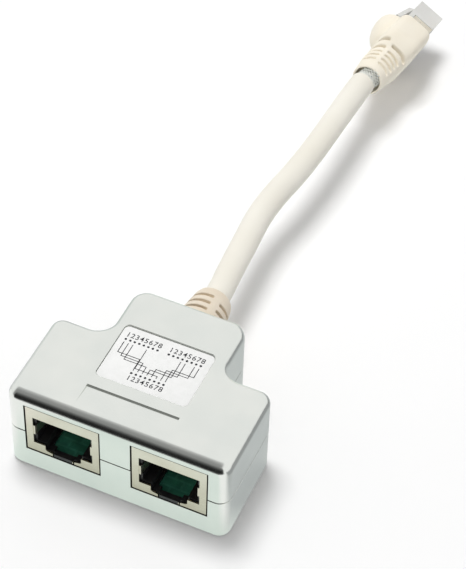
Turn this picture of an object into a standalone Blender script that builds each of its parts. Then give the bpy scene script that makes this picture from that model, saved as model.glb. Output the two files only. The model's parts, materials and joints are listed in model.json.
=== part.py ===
"""RJ45 splitter adapter: a metallised two-shell housing with two shielded jacks, and a short cable and plug.

Metres, +Z up. The jacks face -Y, the cable leaves the housing along +Y, and the origin is at the middle of
the housing's underside.
"""
import math

import bpy
import bmesh
from mathutils import Matrix, Vector

MM = 0.001

# Clearances
FIT = 0.3 * MM
WIRE_FIT = 0.15 * MM
PLUG_FIT = 0.2 * MM
PORT_SIDE_FIT = 0.1 * MM
PORT_TOP_FIT = 0.15 * MM

# Standard plug, which the ports are made for
PLUG_WIDTH = 11.7 * MM
PLUG_HEIGHT = 6.6 * MM
CONTACT_COUNT = 8
CONTACT_PITCH = 1.02 * MM

# Contact carrier and contacts of a jack
WIRE = 0.42 * MM
CARRIER_WIDTH = 8.8 * MM
CARRIER_PLATE = 0.9 * MM
CARRIER_WALL = 1.3 * MM
CARRIER_RIB = 0.24 * MM
CARRIER_RIB_HEIGHT = 0.5 * MM
CONTACT_DROP = 3.3 * MM
CONTACT_REACH = 6.6 * MM
TAIL_ROW_STEP = 2.0 * MM
TAIL_SLOT_HEIGHT = 1.2 * MM

# Jacks, measured from the middle of each jack's bottom front edge
JACK_PITCH = 23.2 * MM
JACK_SETBACK = 0.15 * MM
SHEET = 0.3 * MM
PORT_DEPTH = 12.6 * MM
JACK_SIDE_WALL = 1.45 * MM
JACK_REAR_WALL = 1.4 * MM
JACK_REAR_ROOM = 3.4 * MM
JACK_ROOF = 0.43 * MM
WINDOW_BOTTOM = 2.45 * MM
WINDOW_SIDE_MARGIN = 0.55 * MM
WINDOW_TOP_MARGIN = 0.35 * MM
KEY_WIDTH = 7.9 * MM
KEY_DEPTH = 1.5 * MM
CATCH = 1.4 * MM
LATCH_SILL = 0.7 * MM
LATCH_SILL_HEIGHT = 0.45 * MM
LATCH_SLOT_WIDTH = 4.8 * MM
REAR_SLOT_HEIGHT = 2.4 * MM
SPRING_WIDTH = 2.6 * MM
SPRING_LENGTH = 6.4 * MM
SPRING_LEAN = 0.95 * MM
LATCH_ROOM_WIDTH = 6.6 * MM
LATCH_ROOM_LENGTH = 9.0 * MM
LIP_OVER_PORT = 2.4 * MM
PORT_WIDTH = PLUG_WIDTH + 2 * PORT_SIDE_FIT
PORT_HEIGHT = PLUG_HEIGHT + 2 * PORT_TOP_FIT
PORT_BOTTOM = WINDOW_BOTTOM + WINDOW_TOP_MARGIN
PORT_TOP = PORT_BOTTOM + PORT_HEIGHT
WINDOW_WIDTH = PORT_WIDTH + 2 * WINDOW_SIDE_MARGIN
WINDOW_HEIGHT = PORT_HEIGHT + 2 * WINDOW_TOP_MARGIN
CARRIER_TOP = PORT_TOP + FIT + CARRIER_PLATE
WIRE_OFFSET = WIRE_FIT + WIRE / 2
CARRIER_ROOM_TOP = CARRIER_TOP + WIRE_OFFSET + WIRE / 2 + FIT
JACK_WIDTH = PORT_WIDTH + 2 * (JACK_SIDE_WALL + FIT + SHEET)
JACK_HEIGHT = CARRIER_ROOM_TOP + JACK_ROOF + FIT + SHEET
JACK_DEPTH = PORT_DEPTH + JACK_REAR_WALL + JACK_REAR_ROOM + FIT + SHEET

# Housing: a T seen from above, parted into an upper and a lower shell. It is as large as the jacks, the board
# and the room round them need
WALL = 1.8 * MM
FLOOR_ROOM = 2.2 * MM
BOARD_THICKNESS = 1.6 * MM
ROOM_OVER_JACKS = 1.2 * MM
ROOM_BESIDE_JACKS = 2.6 * MM
ROOM_BEHIND_JACKS = 2.35 * MM
NECK_WIDTH = 25.2 * MM
NECK_LENGTH = 14.1 * MM
FRONT_CORNER = 2.6 * MM
NECK_CORNER = 3.7 * MM
INNER_CORNER = 4.0 * MM
TOP_ROUNDING = 2.3 * MM
BOTTOM_ROUNDING = 0.9 * MM
PARTING_HEIGHT = 11.0 * MM
PARTING_GAP = 0.3 * MM
LIP_THICKNESS = 0.7 * MM
LIP_HEIGHT = 1.0 * MM
JACK_BOTTOM = WALL + FLOOR_ROOM + BOARD_THICKNESS + FIT
HOUSING_WIDTH = JACK_PITCH + JACK_WIDTH + 2 * (ROOM_BESIDE_JACKS + WALL)
HOUSING_HEIGHT = JACK_BOTTOM + JACK_HEIGHT + ROOM_OVER_JACKS + WALL
SHOULDER_DEPTH = JACK_SETBACK + JACK_DEPTH + ROOM_BEHIND_JACKS + WALL
HOUSING_DEPTH = SHOULDER_DEPTH + NECK_LENGTH

# Label and grip recesses in the top
LABEL_WIDTH = 19.4 * MM
LABEL_DEPTH = 13.9 * MM
LABEL_FROM_FRONT = 11.5 * MM
LABEL_THICKNESS = 0.25 * MM
LABEL_CORNER = 0.8 * MM
LABEL_RECESS = 0.75 * MM
GRIP_WIDTH = 20.0 * MM
GRIP_FROM_FRONT = 2.9 * MM
GRIP_LENGTH = 5.2 * MM
GRIP_STEP = 0.5 * MM

# Circuit board and what holds it and the jacks
BOARD_SIDE_ROOM = 0.7 * MM
BOARD_NECK_SIDE_ROOM = 2.3 * MM
BOARD_BACK_ROOM = 2.3 * MM
BOARD_HOLE = 0.95 * MM
LEG_SLOT_LENGTH = 1.8 * MM
LEG_SLOT_WIDTH = 1.0 * MM
LEG_WIDTH = 1.2 * MM
TAIL_BELOW_BOARD = 0.9 * MM
POST_RADIUS = 1.5 * MM
POST_FLARE = 1.3
POST_MARGIN = 2.05 * MM
RIB_THICKNESS = 1.2 * MM
RIB_MARGIN = 4.5 * MM
SADDLE_THICKNESS = 1.2 * MM

# Cable
CABLE_DIAMETER = 5.8 * MM
EXIT_HEIGHT = 12.2 * MM
CABLE_INSIDE = 8.0 * MM
CONDUCTOR_DIAMETER = 0.95 * MM
CONDUCTOR_SPACING = 1.3
CONDUCTOR_REACH = 6.2 * MM
PAD_PITCH = 2.4 * MM
# Middle of the cable between the housing and the plug, chosen along the cable in the photograph
CABLE_ROUTE = [
    (0.0, 30.0, 12.2),
    (-0.45, 38.0, 12.5),
    (-0.8, 46.0, 12.8),
    (-1.15, 54.0, 13.1),
    (-0.6, 61.0, 13.4),
    (0.8, 69.0, 13.8),
    (1.8, 77.5, 14.1),
    (2.4, 86.0, 14.3),
    (2.7, 94.0, 14.0),
    (2.9, 100.5, 13.5),
    (3.1, 104.3, 13.25),
]

# Moulded strain relief on the cable at the housing
RELIEF_LENGTH = 10.6 * MM
RELIEF_ROOT_RADIUS = 5.5 * MM
RELIEF_TIP_RADIUS = 3.9 * MM
RELIEF_FLANGE_RADIUS = 6.6 * MM
RELIEF_FLANGE = 1.6 * MM
RELIEF_NECK_RADIUS = 4.9 * MM
RELIEF_SLOTS = 4
RELIEF_SLOT_START = 1.2 * MM
SLOT = 0.75 * MM
SLOT_PITCH = 2.05 * MM
SPINE = 1.7 * MM
SLEEVE = 0.35 * MM

# Plug and its boot. Their frame has its origin in the boot's mouth, +Y to the plug's nose, +Z to the latch
MOUTH = (3.7 * MM, 105.3 * MM, 13.7 * MM)
PLUG_YAW = math.radians(3.3)
PLUG_PITCH = math.radians(12.5)
PLUG_ROLL = math.radians(64.7)
BOOT_LENGTH = 22.5 * MM
TAIL_LENGTH = 14.4 * MM
TAIL_WIDENS = 8.2 * MM
MOUTH_RADIUS = 3.7 * MM
TAIL_RADIUS = 4.3 * MM
MOUTH_DEPTH = 2.2 * MM
BOOT_WALL = 0.8 * MM
BOOT_CROWN = 0.25 * MM
BOOT_SQUARENESS = 5.0
BUBBLE_HEIGHT = 3.5 * MM
BUBBLE_WIDTH = 9.6 * MM
BUBBLE_LENGTH = 8.2 * MM
BUBBLE_WALL = 0.6 * MM
BOOT_SLOTS = 5
BOOT_SLOT_START = 2.6 * MM
BOOT_SLOT_PITCH = 1.85 * MM
BOOT_SLOT_RISE = 1.7 * MM
BOOT_SPINE = 1.0 * MM
BOOT_SLOT_TURN = math.radians(72)
PLUG_EXPOSED = 9.9 * MM
PLUG_SEAT = 7.5 * MM
LATCH_WIDTH = 6.2 * MM
LATCH_TIP_WIDTH = 3.2 * MM
LATCH_THICKNESS = 1.0 * MM
LATCH_SETBACK = 0.5 * MM
LATCH_LENGTH = 12.8 * MM
LATCH_RISE = 2.2 * MM
SHOULDER_BACK = 7.6 * MM
PLUG_SHEET = 0.25 * MM
PLUG_SHIELD_LENGTH = 10.6 * MM
SHIELD_DROP = 1.2 * MM
BLADE = 0.36 * MM
BLADE_LENGTH = 4.6 * MM
BLADE_HEIGHT = 2.4 * MM
BLADE_SETBACK = 0.6 * MM
BLADE_SLOT = 0.62 * MM
SCREEN_DIAMETER = 4.7 * MM
SCREEN_IN_PLUG = 3.0 * MM

# Colour, roughness and metallic value of each material
METALLISED = ((0.72, 0.74, 0.71), 0.22, 1.0)
LABEL_WHITE = ((0.90, 0.90, 0.88), 0.45, 0.0)
TINNED = ((0.70, 0.66, 0.56), 0.30, 1.0)
JACK_BLACK = ((0.02, 0.02, 0.02), 0.45, 0.0)
GOLD = ((0.83, 0.62, 0.24), 0.22, 1.0)
BOARD_GREEN = ((0.02, 0.14, 0.06), 0.40, 0.0)
JACKET = ((0.83, 0.79, 0.68), 0.48, 0.0)
MOULDED = ((0.85, 0.78, 0.64), 0.50, 0.0)
FOIL = ((0.72, 0.76, 0.74), 0.35, 1.0)
CLEAR = ((0.86, 0.88, 0.86), 0.12, 0.0)
COPPER_GREEN = ((0.16, 0.42, 0.24), 0.45, 0.0)
COPPER_BLUE = ((0.10, 0.20, 0.55), 0.45, 0.0)
COPPER_ORANGE = ((0.80, 0.36, 0.06), 0.45, 0.0)
COPPER_BROWN = ((0.30, 0.15, 0.07), 0.45, 0.0)

# Places that follow from the sizes
OVER = 1 * MM
FRONT_Y = -HOUSING_DEPTH / 2
BACK_Y = HOUSING_DEPTH / 2
SHOULDER_Y = FRONT_Y + SHOULDER_DEPTH
JACK_FACE_Y = FRONT_Y + JACK_SETBACK
JACK_TOP = JACK_BOTTOM + JACK_HEIGHT
BODY_HALF_WIDTH = JACK_WIDTH / 2 - SHEET - FIT
BODY_BOTTOM = FIT
BODY_TOP = JACK_HEIGHT - SHEET - FIT
BODY_FRONT = SHEET + FIT
BODY_BACK = JACK_DEPTH - SHEET - FIT
CARRIER_FRONT = BODY_FRONT + LIP_OVER_PORT + FIT + WIRE + WIRE_FIT
TAIL_Y = BODY_BACK - FIT - WIRE / 2
CARRIER_BACK = TAIL_Y - WIRE_OFFSET
BOARD_TOP = JACK_BOTTOM - FIT
BOARD_BOTTOM = BOARD_TOP - BOARD_THICKNESS
BOARD_WIDTH = HOUSING_WIDTH - 2 * (WALL + BOARD_SIDE_ROOM)
BOARD_NECK_WIDTH = NECK_WIDTH - 2 * (WALL + BOARD_NECK_SIDE_ROOM)
BOARD_FRONT_Y = FRONT_Y + WALL + FIT
BOARD_SHOULDER_Y = SHOULDER_Y - WALL - 2 * FIT
SADDLE_BACK_Y = BACK_Y - WALL - FIT - RELIEF_FLANGE - FIT
SADDLE_FRONT_Y = SADDLE_BACK_Y - SADDLE_THICKNESS
BOARD_BACK_Y = SADDLE_FRONT_Y - BOARD_BACK_ROOM
CABLE_START_Y = BACK_Y - CABLE_INSIDE
CABLE_RADIUS = CABLE_DIAMETER / 2
BORE_RADIUS = CABLE_RADIUS + FIT
SCREEN_BORE_RADIUS = SCREEN_DIAMETER / 2 + FIT
PLUG_REAR_Y = BOOT_LENGTH - PLUG_SEAT
PLUG_TOP = PLUG_HEIGHT / 2
NOSE_Y = BOOT_LENGTH + PLUG_EXPOSED
BOOT_HALF_WIDTH = PLUG_WIDTH / 2 + PLUG_FIT + BOOT_WALL + BOOT_CROWN
BOOT_HALF_HEIGHT = PLUG_HEIGHT / 2 + PLUG_FIT + BOOT_WALL + BOOT_CROWN
JACK_CENTRES = {"left": -JACK_PITCH / 2, "right": JACK_PITCH / 2}


def clear_scene():
    for obj in list(bpy.data.objects):
        bpy.data.objects.remove(obj, do_unlink=True)


def material(name, look):
    """A plain Principled material from a colour, a roughness and a metallic value."""
    colour, roughness, metallic = look
    made = bpy.data.materials.new(name)
    made.use_nodes = True
    shader = made.node_tree.nodes["Principled BSDF"]
    shader.inputs["Base Color"].default_value = (*colour, 1.0)
    shader.inputs["Roughness"].default_value = roughness
    shader.inputs["Metallic"].default_value = metallic
    made.diffuse_color = (*colour, 1.0)
    return made


def add_object(name, bm, look=None, parent=None):
    """Turns a bmesh into an object. Without a look it is a hidden cutter."""
    bmesh.ops.recalc_face_normals(bm, faces=bm.faces)
    mesh = bpy.data.meshes.new(name)
    bm.to_mesh(mesh)
    bm.free()
    obj = bpy.data.objects.new(name, mesh)
    bpy.context.scene.collection.objects.link(obj)
    obj.parent = parent
    if look is None:
        obj.hide_render = True
        obj.display_type = "WIRE"
        return obj
    mesh.materials.append(material(name, look))
    mesh.shade_smooth()
    mesh.set_sharp_from_angle(angle=math.radians(35))
    return obj


def boolean(target, tool, operation):
    modifier = target.modifiers.new(operation.title() + " " + tool.name, "BOOLEAN")
    modifier.operation = operation
    modifier.object = tool
    modifier.solver = "EXACT"


def cut(target, tool):
    boolean(target, tool, "DIFFERENCE")


def join(target, tool):
    boolean(target, tool, "UNION")


def add_box(bm, low, high):
    size = [h - l for l, h in zip(low, high)]
    middle = [(h + l) / 2 for l, h in zip(low, high)]
    matrix = Matrix.Translation(middle) @ Matrix.Diagonal((*size, 1.0))
    bmesh.ops.create_cube(bm, size=1.0, matrix=matrix)


def boxes(name, corners, look=None, parent=None):
    """One object with a box for each pair of lowest and highest corners."""
    bm = bmesh.new()
    for low, high in corners:
        add_box(bm, low, high)
    return add_object(name, bm, look, parent)


def add_loft(bm, loops):
    """Joins closed loops of equal length with faces and closes both ends."""
    rings = [[bm.verts.new(point) for point in loop] for loop in loops]
    count = len(rings[0])
    for lower, upper in zip(rings, rings[1:]):
        for i in range(count):
            j = (i + 1) % count
            bm.faces.new((lower[i], lower[j], upper[j], upper[i]))
    bm.faces.new(list(reversed(rings[0])))
    bm.faces.new(rings[-1])


def loft(name, loops, look=None, parent=None):
    bm = bmesh.new()
    add_loft(bm, loops)
    return add_object(name, bm, look, parent)


def turned(name, profile, centre, segments, look=None, parent=None):
    """Turns the closed outline of (radius, y) points about an axis along +Y through centre (x, z)."""
    bm = bmesh.new()
    rings = []
    for k in range(segments):
        angle = 2 * math.pi * k / segments
        c, s = math.cos(angle), math.sin(angle)
        rings.append([bm.verts.new((centre[0] + r * c, y, centre[1] + r * s)) for r, y in profile])
    for k in range(segments):
        one, two = rings[k], rings[(k + 1) % segments]
        for i in range(len(profile)):
            j = (i + 1) % len(profile)
            bm.faces.new((one[i], one[j], two[j], two[i]))
    return add_object(name, bm, look, parent)


def cylinder(name, centre, radius, start, end, segments=32, parent=None):
    """A cutter along +Y."""
    loops = []
    for y in (start, end):
        ring = [2 * math.pi * k / segments for k in range(segments)]
        loops.append([(centre[0] + radius * math.cos(a), y, centre[1] + radius * math.sin(a)) for a in ring])
    return loft(name, loops, parent=parent)


def arc(centre, radius, start, end, steps):
    """Points of an arc in degrees, both ends included."""
    points = []
    for k in range(steps + 1):
        a = math.radians(start + (end - start) * k / steps)
        points.append((centre[0] + radius * math.cos(a), centre[1] + radius * math.sin(a)))
    return points


def rounded_rectangle(half_width, low, high, radius, steps=5):
    """Points counter-clockwise in a plane, from the lower right corner on."""
    r = max(min(radius, half_width * 0.999, (high - low) / 2 * 0.999), 0.01 * MM)
    points = arc((half_width - r, low + r), r, -90, 0, steps)
    points += arc((half_width - r, high - r), r, 0, 90, steps)
    points += arc((-half_width + r, high - r), r, 90, 180, steps)
    points += arc((-half_width + r, low + r), r, 180, 270, steps)
    return points


def housing_outline(inset):
    """The T outline, counter-clockwise from the front left corner, moved inwards by inset."""
    half, neck = HOUSING_WIDTH / 2, NECK_WIDTH / 2
    steps = 6
    least = 0.3 * MM
    points = []

    def convex(x, y, radius, inward_x, inward_y, start):
        r = max(radius - inset, least)
        centre = (x + inward_x * (inset + r), y + inward_y * (inset + r))
        points.extend(arc(centre, r, start, start + 90, steps))

    def concave(x, y, radius, outward_x, start):
        r = radius + inset
        centre = (x + outward_x * radius, y + radius)
        points.extend(arc(centre, r, start, start - 90, steps))

    convex(-half, FRONT_Y, FRONT_CORNER, 1, 1, 180)
    convex(half, FRONT_Y, FRONT_CORNER, -1, 1, 270)
    convex(half, SHOULDER_Y, FRONT_CORNER, -1, -1, 0)
    concave(neck, SHOULDER_Y, INNER_CORNER, 1, 270)
    convex(neck, BACK_Y, NECK_CORNER, -1, -1, 0)
    convex(-neck, BACK_Y, NECK_CORNER, 1, -1, 90)
    concave(-neck, SHOULDER_Y, INNER_CORNER, -1, 360)
    convex(-half, SHOULDER_Y, FRONT_CORNER, 1, -1, 90)
    return points


def housing_loop(inset, z):
    return [(x, y, z) for x, y in housing_outline(inset)]


def rounding_loops(radius, z_flat, upwards):
    """Loops of a quarter round from the wall to the flat at z_flat."""
    loops = []
    steps = 5
    for k in range(1, steps + 1):
        a = math.radians(90 * k / steps)
        drop = radius * (1 - math.sin(a))
        z = z_flat - drop if upwards else z_flat + drop
        loops.append(housing_loop(radius * (1 - math.cos(a)), z))
    return loops


def upper_shell():
    rim = PARTING_HEIGHT + PARTING_GAP / 2
    rebate_inset = WALL - LIP_THICKNESS - FIT
    rebate_top = PARTING_HEIGHT + LIP_HEIGHT + FIT
    ceiling = HOUSING_HEIGHT - WALL
    loops = [
        housing_loop(WALL, ceiling),
        housing_loop(WALL, rebate_top),
        housing_loop(rebate_inset, rebate_top),
        housing_loop(rebate_inset, rim),
        housing_loop(0, rim),
        housing_loop(0, HOUSING_HEIGHT - TOP_ROUNDING),
    ]
    loops += rounding_loops(TOP_ROUNDING, HOUSING_HEIGHT, upwards=True)
    return loft("upper_shell", loops, METALLISED)


def lower_shell():
    rim = PARTING_HEIGHT - PARTING_GAP / 2
    lip_inset = WALL - LIP_THICKNESS
    loops = [
        housing_loop(WALL, WALL),
        housing_loop(WALL, PARTING_HEIGHT + LIP_HEIGHT),
        housing_loop(lip_inset, PARTING_HEIGHT + LIP_HEIGHT),
        housing_loop(lip_inset, rim),
        housing_loop(0, rim),
        housing_loop(0, BOTTOM_ROUNDING),
    ]
    loops += rounding_loops(BOTTOM_ROUNDING, 0, upwards=False)
    return loft("lower_shell", loops, METALLISED)


def jack_opening_cutter():
    corners = []
    for centre in JACK_CENTRES.values():
        half = JACK_WIDTH / 2 + FIT
        low = (centre - half, FRONT_Y - OVER, JACK_BOTTOM - FIT)
        high = (centre + half, FRONT_Y + WALL + OVER, JACK_TOP + FIT)
        corners.append((low, high))
    return boxes("jack_opening_cutter", corners)


def exit_cutter():
    """A round hole for the strain relief's neck, open to the parting line so that the shells come apart."""
    radius = RELIEF_NECK_RADIUS + FIT
    start, end = BACK_Y - WALL - OVER, BACK_Y + OVER
    bottom = PARTING_HEIGHT - 2 * PARTING_GAP
    dip = math.degrees(math.asin((EXIT_HEIGHT - bottom) / radius))
    outline = arc((0, EXIT_HEIGHT), radius, 0, 180, 16)
    outline += [(-radius, bottom)]
    outline += arc((0, EXIT_HEIGHT), radius, 180 + dip, 360 - dip, 14)
    outline += [(radius, bottom)]
    return loft("exit_cutter", [[(x, y, z) for x, z in outline] for y in (start, end)])


def label_outline(margin):
    front = FRONT_Y + LABEL_FROM_FRONT
    return rounded_rectangle(LABEL_WIDTH / 2 + margin, front - margin, front + LABEL_DEPTH + margin,
                             LABEL_CORNER + margin)


def label_recess_cutter():
    floor, over = HOUSING_HEIGHT - LABEL_RECESS, HOUSING_HEIGHT + OVER
    return loft("label_recess_cutter", [[(x, y, z) for x, y in label_outline(FIT)] for z in (floor, over)])


def grip_cutter():
    """A ramp that runs down from the front and ends in a step for a fingertip."""
    front = FRONT_Y + GRIP_FROM_FRONT
    back = front + GRIP_LENGTH
    top = HOUSING_HEIGHT
    profile = [(back, top - GRIP_STEP), (back, top + OVER), (front, top + OVER), (front, top)]
    half = GRIP_WIDTH / 2
    return loft("grip_cutter", [[(x, y, z) for y, z in profile] for x in (-half, half)])


def jack_press_ribs():
    """Ribs under the ceiling that hold the jacks down."""
    corners = []
    for centre in JACK_CENTRES.values():
        for side in (-1, 1):
            x = centre + side * JACK_WIDTH / 4
            front, back = JACK_FACE_Y + RIB_MARGIN, JACK_FACE_Y + JACK_DEPTH - RIB_MARGIN
            low = (x - RIB_THICKNESS / 2, front, JACK_TOP + FIT)
            high = (x + RIB_THICKNESS / 2, back, HOUSING_HEIGHT - WALL / 2)
            corners.append((low, high))
    return boxes("jack_press_ribs", corners)


def board_posts():
    """Posts on the floor under the circuit board."""
    bm = bmesh.new()
    top = BOARD_BOTTOM - FIT
    front, back = BOARD_FRONT_Y + POST_MARGIN, BOARD_SHOULDER_Y - POST_MARGIN
    edge = BOARD_WIDTH / 2 - POST_RADIUS
    places = [(side * edge, y) for side in (-1, 1) for y in (front, back)]
    places += [(0, front), (0, BOARD_BACK_Y - POST_MARGIN)]
    for x, y in places:
        loops = []
        for z, radius in ((WALL / 2, POST_RADIUS * POST_FLARE), (top, POST_RADIUS)):
            loops.append([(px, py, z) for px, py in arc((x, y), radius, 0, 330, 11)])
        add_loft(bm, loops)
    return add_object("board_posts", bm)


def relief_saddles():
    """Ribs across the neck of each shell, on both sides of the strain relief's flange."""
    front, back = SADDLE_FRONT_Y, SADDLE_BACK_Y
    half = NECK_WIDTH / 2 - WALL / 2
    rim_low = PARTING_HEIGHT - PARTING_GAP
    rim_high = PARTING_HEIGHT + LIP_HEIGHT + 2 * FIT
    lower = ((-half, front, WALL / 2), (half, back, rim_low))
    upper = ((-half, front, rim_high), (half, back, HOUSING_HEIGHT - WALL / 2))
    saddle_bore = cylinder("saddle_bore", (0, EXIT_HEIGHT), BORE_RADIUS + FIT, front - OVER, back + OVER)
    lower_rib = boxes("lower_saddle", [lower])
    upper_rib = boxes("upper_saddle", [upper])
    for rib in (lower_rib, upper_rib):
        cut(rib, saddle_bore)
    return lower_rib, upper_rib


def make_housing():
    upper, lower = upper_shell(), lower_shell()
    lower_saddle, upper_saddle = relief_saddles()
    join(upper, jack_press_ribs())
    join(upper, upper_saddle)
    join(lower, board_posts())
    join(lower, lower_saddle)
    openings, cable_exit = jack_opening_cutter(), exit_cutter()
    for shell in (upper, lower):
        cut(shell, openings)
        cut(shell, cable_exit)
    cut(upper, label_recess_cutter())
    cut(upper, grip_cutter())


def make_label():
    bottom = HOUSING_HEIGHT - LABEL_RECESS + FIT
    loops = [[(x, y, z) for x, y in label_outline(0)] for z in (bottom, bottom + LABEL_THICKNESS)]
    loft("wiring_label", loops, LABEL_WHITE)


def window_outline():
    """The jack's front window with the key step and the latch slot, which runs out at the bottom."""
    key = KEY_WIDTH / 2
    slot = LATCH_SLOT_WIDTH / 2
    half = WINDOW_WIDTH / 2
    step = WINDOW_BOTTOM - KEY_DEPTH
    chamfer = 0.3 * MM
    right = [
        (slot, -OVER),
        (slot, step - chamfer),
        (key - chamfer, step),
        (key, step + chamfer),
        (key, WINDOW_BOTTOM),
        (half, WINDOW_BOTTOM),
        (half, WINDOW_BOTTOM + WINDOW_HEIGHT),
    ]
    return right + [(-x, z) for x, z in reversed(right)]


def jack_shield(side, frame):
    """A folded sheet: front, roof, sides and back, open to the board below."""
    half = JACK_WIDTH / 2
    name = side + "_jack_shield"
    shield = boxes(name, [((-half, 0, 0), (half, JACK_DEPTH, JACK_HEIGHT))], TINNED, frame)
    hollow = ((-half + SHEET, SHEET, -OVER), (half - SHEET, JACK_DEPTH - SHEET, JACK_HEIGHT - SHEET))
    rear = ((-half + OVER, JACK_DEPTH - OVER, -OVER), (half - OVER, JACK_DEPTH + OVER, REAR_SLOT_HEIGHT))
    cut(shield, boxes(side + "_shield_hollow", [hollow], parent=frame))
    cut(shield, boxes(side + "_shield_rear_slot", [rear], parent=frame))
    window = [[(x, y, z) for x, z in window_outline()] for y in (-OVER, OVER)]
    cut(shield, loft(side + "_shield_window", window, parent=frame))
    join(shield, shield_springs(side, frame))
    join(shield, shield_legs(side, frame))
    return shield


def shield_springs(side, frame):
    """A spring tongue folded in from each side of the window, which touches the plug's shield."""
    bm = bmesh.new()
    middle = WINDOW_BOTTOM + WINDOW_HEIGHT / 2
    low, high = middle - SPRING_WIDTH / 2, middle + SPRING_WIDTH / 2
    edge = WINDOW_WIDTH / 2
    half_sheet = SHEET * 0.45
    path = [
        (edge + SHEET / 2, SHEET / 2),
        (edge - SPRING_LEAN * 0.3, SHEET / 2),
        (edge - SPRING_LEAN * 0.45, SHEET * 2),
        (edge - SPRING_LEAN, SPRING_LENGTH * 0.62),
        (edge - SPRING_LEAN * 0.5, SPRING_LENGTH),
    ]
    for hand in (-1, 1):
        outline = []
        for x, y in path:
            outline.append((hand * (x + half_sheet), y + half_sheet / 2))
        for x, y in reversed(path):
            outline.append((hand * (x - half_sheet), y - half_sheet / 2))
        add_loft(bm, [[(x, y, z) for x, y in outline] for z in (low, high)])
    return add_object(side + "_shield_springs", bm, parent=frame)


def shield_legs(side, frame):
    """Two legs that pass through the circuit board."""
    half = JACK_WIDTH / 2
    length = FIT + BOARD_THICKNESS + TAIL_BELOW_BOARD
    front, back = (JACK_DEPTH - LEG_WIDTH) / 2, (JACK_DEPTH + LEG_WIDTH) / 2
    corners = []
    for hand in (-1, 1):
        inner, outer = sorted((hand * half, hand * (half - SHEET)))
        corners.append(((inner, front, -length), (outer, back, OVER)))
    return boxes(side + "_shield_legs", corners, parent=frame)


def jack_body(side, frame):
    """The moulded body: the port with its key step, a latch channel open to the board, and a carrier room."""
    name = side + "_jack_body"
    low = (-BODY_HALF_WIDTH, BODY_FRONT, BODY_BOTTOM)
    high = (BODY_HALF_WIDTH, BODY_BACK, BODY_TOP)
    body = boxes(name, [(low, high)], JACK_BLACK, frame)
    half_sill = LATCH_SLOT_WIDTH / 2 - FIT
    sill_back, sill_top = BODY_FRONT + LATCH_SILL, BODY_BOTTOM + LATCH_SILL_HEIGHT
    sill = ((-half_sill, 0, 0), (half_sill, sill_back, sill_top))
    join(body, boxes(side + "_latch_sill", [sill], parent=frame))
    step = WINDOW_BOTTOM - KEY_DEPTH
    room_front = BODY_FRONT + CATCH
    half = CARRIER_WIDTH / 2 + FIT
    half_key, half_slot, half_room = KEY_WIDTH / 2, LATCH_SLOT_WIDTH / 2, LATCH_ROOM_WIDTH / 2
    spaces = {
        "port": [((-PORT_WIDTH / 2, -OVER, PORT_BOTTOM), (PORT_WIDTH / 2, PORT_DEPTH, PORT_TOP))],
        "key": [((-half_key, -OVER, step), (half_key, LATCH_ROOM_LENGTH, PORT_BOTTOM + OVER))],
        "latch_slot": [((-half_slot, -OVER, sill_top), (half_slot, LATCH_ROOM_LENGTH, PORT_BOTTOM))],
        "latch_opening": [((-half_slot, sill_back, -OVER), (half_slot, LATCH_ROOM_LENGTH, PORT_BOTTOM))],
        "latch_room": [((-half_room, room_front, -OVER), (half_room, LATCH_ROOM_LENGTH, PORT_BOTTOM))],
        "carrier_room": [((-half, BODY_FRONT + LIP_OVER_PORT, PORT_TOP - OVER),
                          (half, BODY_BACK + OVER, CARRIER_ROOM_TOP))],
        "rear_room": [((-half, PORT_DEPTH + JACK_REAR_WALL, -OVER), (half, BODY_BACK + OVER, PORT_TOP))],
        "spring_pockets": spring_pockets(),
    }
    for label, corners in spaces.items():
        cut(body, boxes(side + "_" + label, corners, parent=frame))
    return body


def spring_pockets():
    """Room behind each side spring of the shield."""
    reach = SPRING_WIDTH / 2 + FIT
    middle = WINDOW_BOTTOM + WINDOW_HEIGHT / 2
    pockets = []
    for hand in (-1, 1):
        inner, outer = sorted((hand * (PORT_WIDTH / 2 - OVER), hand * (WINDOW_WIDTH / 2 + 2 * FIT)))
        pockets.append(((inner, -OVER, middle - reach), (outer, SPRING_LENGTH + 2 * FIT, middle + reach)))
    return pockets


def contact_offsets():
    return [(k - (CONTACT_COUNT - 1) / 2) * CONTACT_PITCH for k in range(CONTACT_COUNT)]


def contact_places():
    """The x of each contact and whether its tail stands in the rear row."""
    return [(x, k % 2 == 0) for k, x in enumerate(contact_offsets())]


def contact_carrier(side, frame):
    """The insert for the contacts: a plate over the port, a wall behind it, and ribs between the wires."""
    half = CARRIER_WIDTH / 2
    plate = ((-half, CARRIER_FRONT, CARRIER_TOP - CARRIER_PLATE), (half, CARRIER_BACK, CARRIER_TOP))
    wall = ((-half, CARRIER_BACK - CARRIER_WALL, BODY_BOTTOM + FIT), (half, CARRIER_BACK, CARRIER_TOP))
    carrier = boxes(side + "_contact_carrier", [plate], JACK_BLACK, frame)
    join(carrier, boxes(side + "_carrier_wall", [wall], parent=frame))
    ribs = []
    for k in range(1, CONTACT_COUNT):
        x = (k - CONTACT_COUNT / 2) * CONTACT_PITCH
        low = (x - CARRIER_RIB / 2, CARRIER_FRONT + 1.0 * MM, CARRIER_TOP - CARRIER_PLATE / 2)
        high = (x + CARRIER_RIB / 2, CARRIER_FRONT + 4.0 * MM, CARRIER_TOP + CARRIER_RIB_HEIGHT)
        ribs.append((low, high))
    join(carrier, boxes(side + "_carrier_ribs", ribs, parent=frame))
    front_row_slots = []
    for x, in_rear_row in contact_places():
        if not in_rear_row:
            room = WIRE / 2 + WIRE_FIT
            low = (x - room, CARRIER_BACK - TAIL_ROW_STEP - OVER, -OVER)
            high = (x + room, CARRIER_BACK + OVER, BODY_BOTTOM + FIT + TAIL_SLOT_HEIGHT)
            front_row_slots.append((low, high))
    cut(carrier, boxes(side + "_carrier_tail_slots", front_row_slots, parent=frame))
    return carrier


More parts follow.
